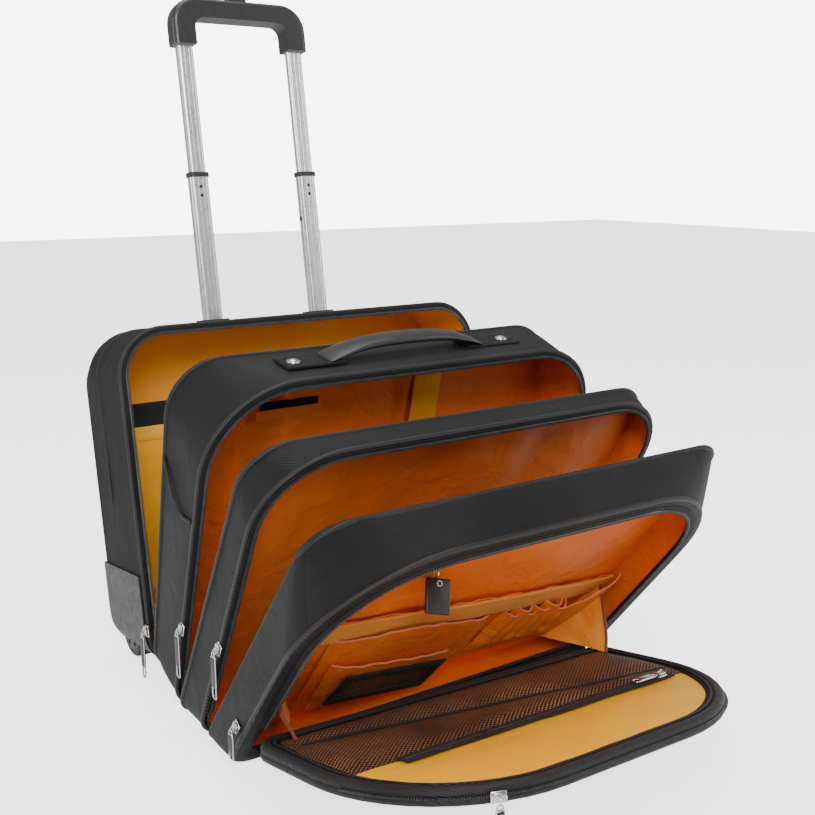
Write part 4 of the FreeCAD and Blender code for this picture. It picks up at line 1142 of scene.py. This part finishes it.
# ---- Front flap, folded down: padded panel, rolled edge and outer pocket zip.
# Twill outside and satin inside over thin foam. The thick rolled edge carries the outer pocket's zip,
# and hangs in the side gussets a little above the floor.
flap_frame = (Matrix.Translation((-0.009, -0.111, 0.030)) @ Matrix.Rotation(math.radians(3.6), 4, "Z")
              @ Matrix.Rotation(math.radians(4.6), 4, "Y") @ Matrix.Rotation(math.radians(79.2), 4, "X"))
flap_rim = dict(half=0.213, low=0.0, high=0.232, upper=0.140, lower=0.024)
flap_face = panel("flap_face", outline("face", flap_frame, depth=-0.0040, inset=0.0060, **flap_rim),
    flap_frame)
sag(flap_face, flap_frame, lambda x, y, z,
    loose: (0.0, -0.0022 * loose * (1 + 0.5 * ripple(x, 0, z, 0.08, 71)), 0.0), margin=0.05)
thicken(flap_face, 0.0020)
lay_cloth(flap_face)
wear(flap_face, twill, "twill_black", "flap")
flap_lining = panel("flap_lining", outline("lining", flap_frame, depth=0.0016, inset=0.0090, **flap_rim),
    flap_frame, step=0.008)
sag(flap_lining, flap_frame, lambda x, y, z, loose: (
    0.0, 0.0016 * loose * ripple(x, 0, z * 1.6, 0.06, 72) + 0.0008 * loose, 0.0), margin=0.02)
thicken(flap_lining, 0.0020)
lay_cloth(flap_lining)
wear(flap_lining, lining_lit_yellow, "lining_orange", "flap", "flap_panel")
flap_edge = join("flap_rolled_edge", [
    cord_along("roll_high", outline("roll_a", flap_frame, depth=0.0022, inset=0.0056, **flap_rim), 0.0050,
        sides=4),
    cord_along("roll_low", outline("roll_b", flap_frame, depth=-0.0030, inset=0.0044, **flap_rim), 0.0042,
        sides=4),
    cord_along("roll_seam", outline("roll_c", flap_frame, depth=0.0058, inset=0.0125, **flap_rim), 0.0012),
])
edge_cloth = woven("flap_edge_cloth", (0.016, 0.016, 0.017), (0.006, 0.006, 0.007), rib=280, twill=1.0,
                   rib_height=0.0003, crease=0.0018, roughness=0.46, sheen=0.03, coordinate="Object",
                       specular=0.3)
wear(flap_edge, edge_cloth, "twill_black", "flap", "flap_binding")
flap_inner_border = band("flap_inner_border", [
    outline("border_out", flap_frame, depth=0.0052, inset=0.0060, **flap_rim),
    outline("border_in", flap_frame, depth=0.0042, inset=0.0175, **flap_rim),
], cuts=3)
sag(flap_inner_border, flap_frame, lambda x, y, z, loose: (0, 0.0007 * ripple(x, 0, z, 0.04, 73), 0))
thicken(flap_inner_border, 0.0012, 0.0)
lay_cloth(flap_inner_border)
wear(flap_inner_border, nylon, "twill_black", "flap")
front_chain = zip_chain("front_zip_teeth",
    outline("front_zip", flap_frame, depth=-0.0004, inset=0.0002, **flap_rim),
                        keep=above(flap_frame, 0.125))
wear(front_chain, teeth_dark, "zip_black", "flap", "flap_zips")

# ---- Mesh pocket on the flap.
# A panel of open black knit stretched over the lining, with a straight zip along its front edge. A dark strip
# across it is painted shadow in the fold where the knit is drawn down.
flap_mesh = panel("flap_mesh", outline("mesh", flap_frame, depth=0.0042, inset=0.0150, **flap_rim),
    flap_frame, step=0.006)
work_on(flap_mesh)
bpy.ops.mesh.select_all(action="SELECT")
bpy.ops.mesh.bisect(plane_co=flap_frame @ Vector((0, 0, 0.126)),
    plane_no=flap_frame.to_3x3() @ Vector((-0.02, 0, 1)),
                    clear_outer=True)
bpy.ops.object.mode_set(mode="OBJECT")


def mesh_swell(x, y, z, loose):
    """The knit is slack in two soft swells, drawn down along a fold between them; a dark strip paints the
    fold's shadow.
    """
    fold_valley = 0.045 + 0.19 * (x + 0.16)
    drawn = math.exp(-((z - fold_valley) / 0.009) ** 2)
    return (0.0, loose * (0.0042 + 0.0022 * ripple(x * 0.7, 0, z, 0.045, 74)) * (1 - 0.75 * drawn), 0.0)


sag(flap_mesh, flap_frame, mesh_swell, margin=0.016)
thicken(flap_mesh, 0.0008, 0.0)
lay_cloth(flap_mesh)
wear(flap_mesh, pocket_mesh, "mesh_black", "flap", "mesh_pocket")
# A thin dark strip laid along the fold: painted shadow in the fold, not a real band.
mesh_band = cut_sheet("mesh_band", flap_frame, -0.186, 0.186, -0.0022, 0.0022, 0.0066, step=0.003)
sag(mesh_band, flap_frame, lambda x, y, z,
    loose: (0.0, 0.0009 * ripple(x, 0, 0, 0.05, 75), 0.045 + 0.19 * (x + 0.16)))
thicken(mesh_band, 0.0008, 0.0)
lay_cloth(mesh_band)
wear(mesh_band, tape_black, "mesh_black", "flap")
mesh_tape = cut_sheet("mesh_zip_tape", flap_frame, -0.150, 0.172, -0.0068, 0.0068, 0.0066, step=0.004)
sag(mesh_tape, flap_frame, lambda x, y, z, loose: (0.0, 0.0005 * ripple(x, 0, 0, 0.05, 76), 0.1290))
thicken(mesh_tape, 0.0010, 0.0)
lay_cloth(mesh_tape)
wear(mesh_tape, tape_black, "zip_black", "flap")
bpy.ops.object.select_all(action="DESELECT")
bpy.ops.mesh.primitive_ico_sphere_add(subdivisions=1, radius=1.0)
mesh_teeth = bpy.context.object
mesh_teeth.name = "mesh_zip_teeth"
mesh_teeth.scale = (0.0008, 0.0008, 0.0022)
bpy.ops.object.transform_apply(location=False, rotation=False, scale=True)
tooth_row = mesh_teeth.modifiers.new("row", "ARRAY")
tooth_row.count = 150
tooth_row.relative_offset_displace = (1.25, 0, 0)
bpy.ops.object.modifier_apply(modifier="row")
mesh_teeth.data.transform(flap_frame @ Matrix.Translation((-0.146, 0.0070, 0.1290)))
wear(mesh_teeth, teeth_dark, "zip_black", "flap")

# ---- Hinge cloth of the flap.
# The strip of twill along the base of the organizer that the flap hangs from. It is sewn to both.
hinge_root = [c_rear @ Vector((side * 0.196, -0.0400, 0.056)) for side in (-1, 1)]
hinge_reach = [flap_frame @ Vector((side * 0.196, 0.0010, 0.010)) for side in (-1, 1)]
hinge_cloth = cut_sheet("flap_hinge_cloth", Matrix.Identity(4), -0.196, 0.196, 0.0, 0.05, 0.0, step=0.008)
sag(hinge_cloth, Matrix.Identity(4), lambda x, y, z, loose: tuple(
    hinge_root[0].lerp(hinge_root[1], (x + 0.196) / 0.392).lerp(
        hinge_reach[0].lerp(hinge_reach[1], (x + 0.196) / 0.392), z / 0.05)
    - Vector((x, y, z))
        + Vector((0, 0, -0.006 * math.sin(math.pi * z / 0.05) + 0.001 * ripple(x, 0, z, 0.04, 77)))))
thicken(hinge_cloth, 0.0014, 0.0)
lay_cloth(hinge_cloth)
hinge_cloth.data.materials.clear()
hinge_cloth.data.materials.append(twill)
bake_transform(hinge_cloth)

# ---- Side gussets of the flap.
# Folded triangles of lining that tie the flap to the organizer and hold it open. Each has a bound
# free edge.
gusset_binding = satin("gusset_binding_cloth", (0.22, 0.045, 0.018), (0.12, 0.020, 0.008), crease=0.0005)
# Lit copy of the lining satin for the gussets: its yellower colour is painted light.
lining_gusset_lit = satin("lining_gusset_cloth", (0.93, 0.33, 0.022), (0.84, 0.22, 0.012), crease=0.003,
    patch=14.0)
for side, name in ((-1, "left"), (1, "right")):
    root = c_rear @ Vector((side * 0.150, -0.0190, 0.052))
    upper = Vector((side * 0.186, -0.110, 0.103))
    lower = flap_frame @ Vector((side * 0.187, 0.0085, 0.036 if side > 0 else 0.032))
    bpy.ops.object.select_all(action="DESELECT")
    bpy.ops.mesh.primitive_circle_add(vertices=3, radius=1, fill_type="NGON")
    gusset = bpy.context.object
    gusset.name = "flap_gusset_" + name
    for vertex, corner in zip(gusset.data.vertices, (root, upper, lower)):
        vertex.co = corner
    gusset.data.update()
    work_on(gusset)
    bpy.ops.mesh.select_all(action="SELECT")
    for _ in range(4):
        bpy.ops.mesh.subdivide(number_cuts=1)
    bpy.ops.object.mode_set(mode="OBJECT")
    normal = (upper - root).cross(lower - root).normalized()
    free = (lower - upper).normalized()
    for vertex in gusset.data.vertices:
        along = (vertex.co - root).length / (lower - root).length
        low_share = (vertex.co - upper).dot(free) / (lower - upper).length
        lift = 0.007 * math.sin(math.pi * min(1, max(0, low_share))) * min(1, along)
        lift += 0.003 * min(1, along) * ripple(vertex.co.x, vertex.co.y, vertex.co.z, 0.022, 81 + side)
        vertex.co = vertex.co + normal * lift * side
    gusset.data.update()
    back_edge = sorted((v.co.copy() for v in gusset.data.vertices
                        if abs((v.co - upper).cross(v.co - lower).length / (upper - lower).length) < 0.0125
                        and (v.co - upper).cross(free).length < 0.0135 and
                        ((v.co - root).length > 0.985
                            * (upper.lerp(lower,
                                max(0, min(1,
                                    (v.co - upper).dot(free) / (lower - upper).length))) - root).length)),
                       key=lambda p: (p - upper).dot(free))
    thicken(gusset, 0.0009, 0.0)
    lay_cloth(gusset)
    gusset.data.materials.clear()
    gusset.data.materials.append(lining_gusset_lit)
    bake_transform(gusset)
    binding = bpy.data.curves.new("gusset_binding_" + name, "CURVE")
    binding.dimensions = "3D"
    spline = binding.splines.new("POLY")
    spline.points.add(len(back_edge) - 1)
    for knot, point in zip(spline.points, back_edge):
        knot.co = (*point, 1)
    binding.bevel_depth = 0.0016
    binding.bevel_resolution = 2
    binding.use_fill_caps = True
    edge_piece = bpy.data.objects.new("gusset_binding_" + name, binding)
    bpy.context.collection.objects.link(edge_piece)
    work_on(edge_piece, "OBJECT")
    bpy.ops.object.convert(target="MESH")
    edge_piece.data.materials.clear()
    edge_piece.data.materials.append(gusset_binding)
    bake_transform(edge_piece)
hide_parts("flap_gussets")

# ---- Zip sliders and pulls.
# Cast sliders with a bridge on top. Each pull is a wire loop with a dark moulded grip, and swings
# from the bridge.
pull_dark = zip_finish("pull_grip_plastic", (0.045, 0.040, 0.040), 0.35)


def metal_slider(name, place, body, node):
    """A slider seated on a zip, which runs along z of place and faces its -x."""
    pieces = [
        block("slider_base", (0.0022, 0.0088, 0.0125), place @ Matrix.Translation((-0.0014, 0, 0)), 0.0010),
        block("slider_top", (0.0016, 0.0070, 0.0098), place @ Matrix.Translation((-0.0036, 0, 0.0006)),
            0.0007),
        block("slider_neck", (0.0030, 0.0030, 0.0040), place @ Matrix.Translation((-0.0026, 0, 0.0040)),
            0.0006),
        ring("slider_bridge",
            place @ Matrix.Translation((-0.0044, 0, 0.0006)) @ Matrix.Rotation(math.radians(90), 4, "X"),
             0.0026, 0.0006, 1.0),
    ]
    piece = join(name, pieces)
    wear(piece, chrome, "slider_metal", body, node)
    return piece


def zip_pull(name, place, length, body, node, grip=pull_dark):
    """A pull that hangs down z of place, flat to its -x, from its top at the origin."""
    wire = ring(name,
        place @ Matrix.Translation((0, 0, -0.0024)) @ Matrix.Rotation(math.radians(90), 4, "Y"), 0.0026,
            0.0007)
    half, top = 0.0036, -0.0042
    loop = outline("pull_loop", place @ Matrix.Rotation(math.radians(90), 4, "Z"), half, -length + 0.0009,
        top, 0.0016, 0.0022,
                   cuts=1, turns=4)
    wire = join(name, [wire, cord_along("pull_wire", loop, 0.0009)])
    wear(wire, chrome, "slider_metal", body, node)
    grip_length = (length + top) * 0.68
    hold = block(name + "_grip", (0.0026, 0.0080, grip_length),
        place @ Matrix.Translation((0, 0, top - 0.0016 - grip_length / 2)), 0.0009)
    wear(hold, grip, "pull_dark", body)
    return wire


def slider_seat(place, up, depth):
    return place @ Matrix.Translation((-0.220, depth, up))


for name, place, up, depth, length in (
    ("shell", shell_frame, 0.039, 0.0, 0.048), ("section_a", a_front, 0.1035, 0.003, 0.046),
    ("section_b", b_front, 0.129, 0.003, 0.044), ("section_c", c_rear, 0.099, -0.033, 0.028),
):
    seat = slider_seat(place, up, depth)
    metal_slider(name + "_zip_slider", seat, name + "_slider", name + "_slider")
    pull_low, pull_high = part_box(name + "_pull")
    hang = Matrix.Translation(((pull_low.x + pull_high.x) / 2, (pull_low.y + pull_high.y) / 2,
        pull_high.z + 0.0006))
    zip_pull(name + "_zip_pull", hang, length, name + "_pull", name + "_pull")
flap_seat = flap_frame @ Matrix(((0, 0, 1, 0.1585), (-1, 0, 0, 0.0062), (0, -1, 0, 0.1288), (0, 0, 0, 1)))
metal_slider("mesh_zip_slider", flap_seat, "mesh_slider", "mesh_slider")
silver_grip = chrome_finish("pull_grip_metal", (0.60, 0.60, 0.62), 0.24)
mesh_hang = flap_frame @ Matrix(((0, 0, 1, 0.1518), (-1, 0, 0, 0.0100), (0, -1, 0, 0.1296), (0, 0, 0, 1)))
zip_pull("mesh_zip_pull", mesh_hang, 0.032, "mesh_pull", "mesh_pull", silver_grip)
front_low, front_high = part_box("front_pull")
front_turn = flap_frame @ Matrix.Translation((-0.133, 0.0, 0.2185)) @ Matrix.Rotation(math.radians(-25.4),
    4, "Y")
front_seat = front_turn @ Matrix(((0, 0, 1, 0.0), (0, 1, 0, 0.0), (-1, 0, 0, 0.0026), (0, 0, 0, 1)))
metal_slider("front_zip_slider", front_seat, "flap", "front_slider")
front_hang = Matrix.Translation(((front_low.x + front_high.x) / 2, (front_low.y + front_high.y) / 2,
    front_high.z + 0.0010)) @ Matrix(
    ((0, -1, 0, 0), (1, 0, 0, 0), (0, 0, 1, 0), (0, 0, 0, 1)))
zip_pull("front_zip_pull", front_hang, 0.034, "front_pull", "front_pull")

# ---- Carry handle on top of the middle section.
# A padded strip of coated leather-cloth, arched between two stitched twill patches with domed rivets.
carry_place = Matrix.Translation((0, -0.025, 0.34696)) @ Matrix.Rotation(math.radians(8.2), 4, "X")
bpy.ops.object.select_all(action="DESELECT")
bpy.ops.mesh.primitive_cube_add(size=1)
carry_pad = bpy.context.object
carry_pad.name = "carry_pad"
carry_pad.data.transform(Matrix.Diagonal((0.176, 0.030, 0.010, 1)))
work_on(carry_pad)
bpy.ops.mesh.select_all(action="SELECT")
for cuts, direction, reach in ((15, (1, 0, 0), 0.088), (5, (0, 1, 0), 0.015)):
    for index in range(1, cuts + 1):
        bpy.ops.mesh.select_all(action="SELECT")
        bpy.ops.mesh.bisect(plane_co=Vector(direction) * (reach * (2 * index / (cuts + 1) - 1)),
            plane_no=direction)
bpy.ops.object.mode_set(mode="OBJECT")


def carry_arch(x, y, z, loose):
    """Arched up along its middle, thin and flat at the sewn ends, and crowned across."""
    middle = max(0.0, 1 - (abs(x) / 0.088) ** 2.6)
    crown = 1 - 0.55 * (abs(y) / 0.015) ** 2.4
    height = 0.0030 + 0.0125 * middle + z * (0.30 + 0.75 * middle) * crown
    waist = 1 - 0.10 * middle + 0.04 * math.sin(abs(x) * 120)
    return (0.0, y * (waist - 1), height - z)


sag(carry_pad, Matrix.Identity(4), carry_arch)
carry_pad.data.transform(carry_place)
work_on(carry_pad, "OBJECT")
roundness = carry_pad.modifiers.new("roundness", "SUBSURF")
roundness.levels = roundness.render_levels = 2
bpy.ops.object.modifier_apply(modifier="roundness")
bpy.ops.object.shade_smooth()
wear(carry_pad, hide_black, "leatherette", "section_a", "carry_handle")
patch_pieces, stitch_pieces = [], []
for side in (-1, 1):
    patch = block("patch", (0.062, 0.032, 0.0026),
        carry_place @ Matrix.Translation((side * 0.101, 0, 0.0016)), 0.0011, 2)
    patch_pieces.append(patch)
    stitch_line = outline("stitch_line", carry_place @ Matrix.Translation((side * 0.101, 0, 0.0030))
                          @ Matrix.Rotation(math.radians(-90), 4, "X"), 0.0275, -0.0128, 0.0128, 0.003,
                              0.003, cuts=6, turns=3)
    stitch_pieces.append(zip_chain("stitches", stitch_line, tooth=(0.0012, 0.00035, 0.00035), pitch=1.6))
wear(join("carry_patches", patch_pieces), twill, "twill_black", "section_a", "handle_fixings")
thread_black = zip_finish("sewing_thread", (0.05, 0.05, 0.052), 0.5)
wear(join("carry_stitches", stitch_pieces), thread_black, "twill_black", "section_a")
rivet_pieces = []
for side in (-1, 1):
    bpy.ops.object.select_all(action="DESELECT")
    bpy.ops.mesh.primitive_uv_sphere_add(segments=28, ring_count=14, radius=0.0056)
    rivet = bpy.context.object
    rivet.data.transform(carry_place @ Matrix.Translation((side * 0.119, 0, 0.0022))
        @ Matrix.Diagonal((1, 1, 0.62, 1)))
    bpy.ops.object.shade_smooth()
    rivet_pieces.append(rivet)
    rivet_pieces.append(ring("washer", carry_place @ Matrix.Translation((side * 0.119, 0, 0.0030)), 0.0060,
        0.0006))
wear(join("carry_rivets", rivet_pieces), chrome, "slider_metal", "section_a")

# ---- Side seam of the middle section.
# Only the piped top edge of a curved flat pocket on its left wall is drawn.
seam_points = []
for step in range(17):
    share = step / 16
    back_point = a_rear @ Vector((-0.2215, -0.006, 0.245))
    front_point = a_front @ Vector((-0.2215, 0.008, 0.222))
    point = back_point.lerp(front_point,
        share) + Vector((-0.0012 * math.sin(share * math.pi), 0, -0.016 * math.sin(share * math.pi)))
    seam_points.append(point)
edge_cord("section_a_side_seam", seam_points, 0.0015, piping_black, "section_a", "twill_black")

# ---- Trolley handle, kick plates, wheels and feet: the hard parts.
# Drawn aluminium tubes with lengthwise grooves, a moulded rubber grip and corner guards, and wheels on ball
# bearings. Their shapes are the frame's own, and each gets its finish here.


def hard_finish(name, colour, roughness, metallic=0.0, grain=0.00015, groove=0.0, tint=0.8, coat=0.0):
    """A moulded, drawn or turned finish: fine grain, slight tone changes, and grooves along x if asked."""
    material = bpy.data.materials.new(name)
    material.use_nodes = True
    nodes, links = material.node_tree.nodes, material.node_tree.links
    shader = nodes["Principled BSDF"]
    shader.inputs["Metallic"].default_value = metallic
    shader.inputs["Coat Weight"].default_value = coat
    where = place_node(material, "ShaderNodeTexCoord")
    marks = place_group(material, soft_unevenness, Patch_Scale=14.0, Crease_Scale=90.0)
    links.new(where.outputs["Object"], marks.inputs["Vector"])
    tone = place_node(material, "ShaderNodeMix", data_type="RGBA")
    tone.inputs["A"].default_value = (*[c * tint for c in colour], 1)
    tone.inputs["B"].default_value = (*colour, 1)
    links.new(marks.outputs["Patch"], tone.inputs["Factor"])
    rough = place_node(material, "ShaderNodeMapRange")
    rough.inputs["To Min"].default_value = roughness * 0.8
    rough.inputs["To Max"].default_value = roughness * 1.25
    links.new(marks.outputs["Crease"], rough.inputs["Value"])
    links.new(rough.outputs["Result"], shader.inputs["Roughness"])
    speck = place_node(material, "ShaderNodeTexNoise", Scale=1400.0, Detail=2.0)
    links.new(where.outputs["Object"], speck.inputs["Vector"])
    bump = place_node(material, "ShaderNodeBump", Strength=0.5, Distance=grain)
    links.new(speck.outputs["Fac"], bump.inputs["Height"])
    links.new(tone.outputs["Result"], shader.inputs["Base Color"])
    if groove:
        lines = place_node(material, "ShaderNodeTexWave", wave_type="BANDS", bands_direction="X",
            Scale=groove)
        sharp = place_node(material, "ShaderNodeMapRange")
        sharp.inputs["From Min"].default_value = 0.05
        sharp.inputs["From Max"].default_value = 0.25
        links.new(where.outputs["Object"], lines.inputs["Vector"])
        links.new(lines.outputs["Fac"], sharp.inputs["Value"])
        cut = place_node(material, "ShaderNodeBump", Strength=0.8, Distance=0.0005)
        links.new(sharp.outputs["Result"], cut.inputs["Height"])
        links.new(bump.outputs["Normal"], cut.inputs["Normal"])
        bump = cut
    links.new(bump.outputs["Normal"], shader.inputs["Normal"])
    return material


drawn_aluminium = hard_finish("drawn_aluminium", (0.86, 0.87, 0.88), 0.30, metallic=1.0, groove=57.0,
    tint=0.93)
plain_aluminium = hard_finish("sleeve_aluminium", (0.62, 0.62, 0.63), 0.42, metallic=1.0)
grip_rubber = hard_finish("grip_rubber", (0.022, 0.022, 0.023), 0.36, grain=0.0002, tint=0.7, coat=0.15)
moulded_black = hard_finish("moulded_black", (0.022, 0.022, 0.023), 0.42, grain=0.0003, tint=0.75)
button_plastic = hard_finish("button_plastic", (0.040, 0.040, 0.042), 0.30, tint=0.8)
guard_grey = hard_finish("corner_guard_grey", (0.020, 0.020, 0.022), 0.40, grain=0.0004, tint=0.8)
wheel_rubber = hard_finish("wheel_rubber", (0.030, 0.030, 0.031), 0.6, grain=0.0004, tint=0.7)
wheel_plastic = hard_finish("wheel_plastic", (0.055, 0.055, 0.058), 0.38, tint=0.8)
turned_steel = hard_finish("turned_steel", (0.60, 0.60, 0.61), 0.28, metallic=1.0)
tube_holes = bpy.data.objects["shell_cloth"].modifiers.new("tube_holes", "BOOLEAN")
hole_cutters = join("tube_hole_cutters", [
    block("cutter", (0.0236, 0.0156, 0.060),
        shell_frame @ Matrix.Translation((side * 0.06875, 0.109, 0.335)), 0.0030)
    for side in (-1, 1)])
tube_holes.object = hole_cutters
work_on(bpy.data.objects["shell_cloth"], "OBJECT")
bpy.ops.object.modifier_apply(modifier="tube_holes")
bpy.data.objects.remove(hole_cutters)
for node, finish in (
    ("lower_tubes", drawn_aluminium), ("upper_tubes", drawn_aluminium), ("handle_sleeves", plain_aluminium),
    ("tube_fittings", moulded_black), ("handle_mounts", moulded_black), ("grip", grip_rubber),
        ("grip_button", button_plastic),
    ("kick_plates", guard_grey), ("wheel_axles", turned_steel), ("shell_feet", moulded_black),
    ("wheel_left_tyre", wheel_rubber), ("wheel_right_tyre", wheel_rubber), ("wheel_left_hub", wheel_plastic),
    ("wheel_right_hub", wheel_plastic), ("wheel_left_bearings", turned_steel),
        ("wheel_right_bearings", turned_steel),
):
    hard_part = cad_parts[node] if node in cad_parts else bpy.data.objects[node]
    for place_in_list in hard_part.material_slots:
        place_in_list.material = finish
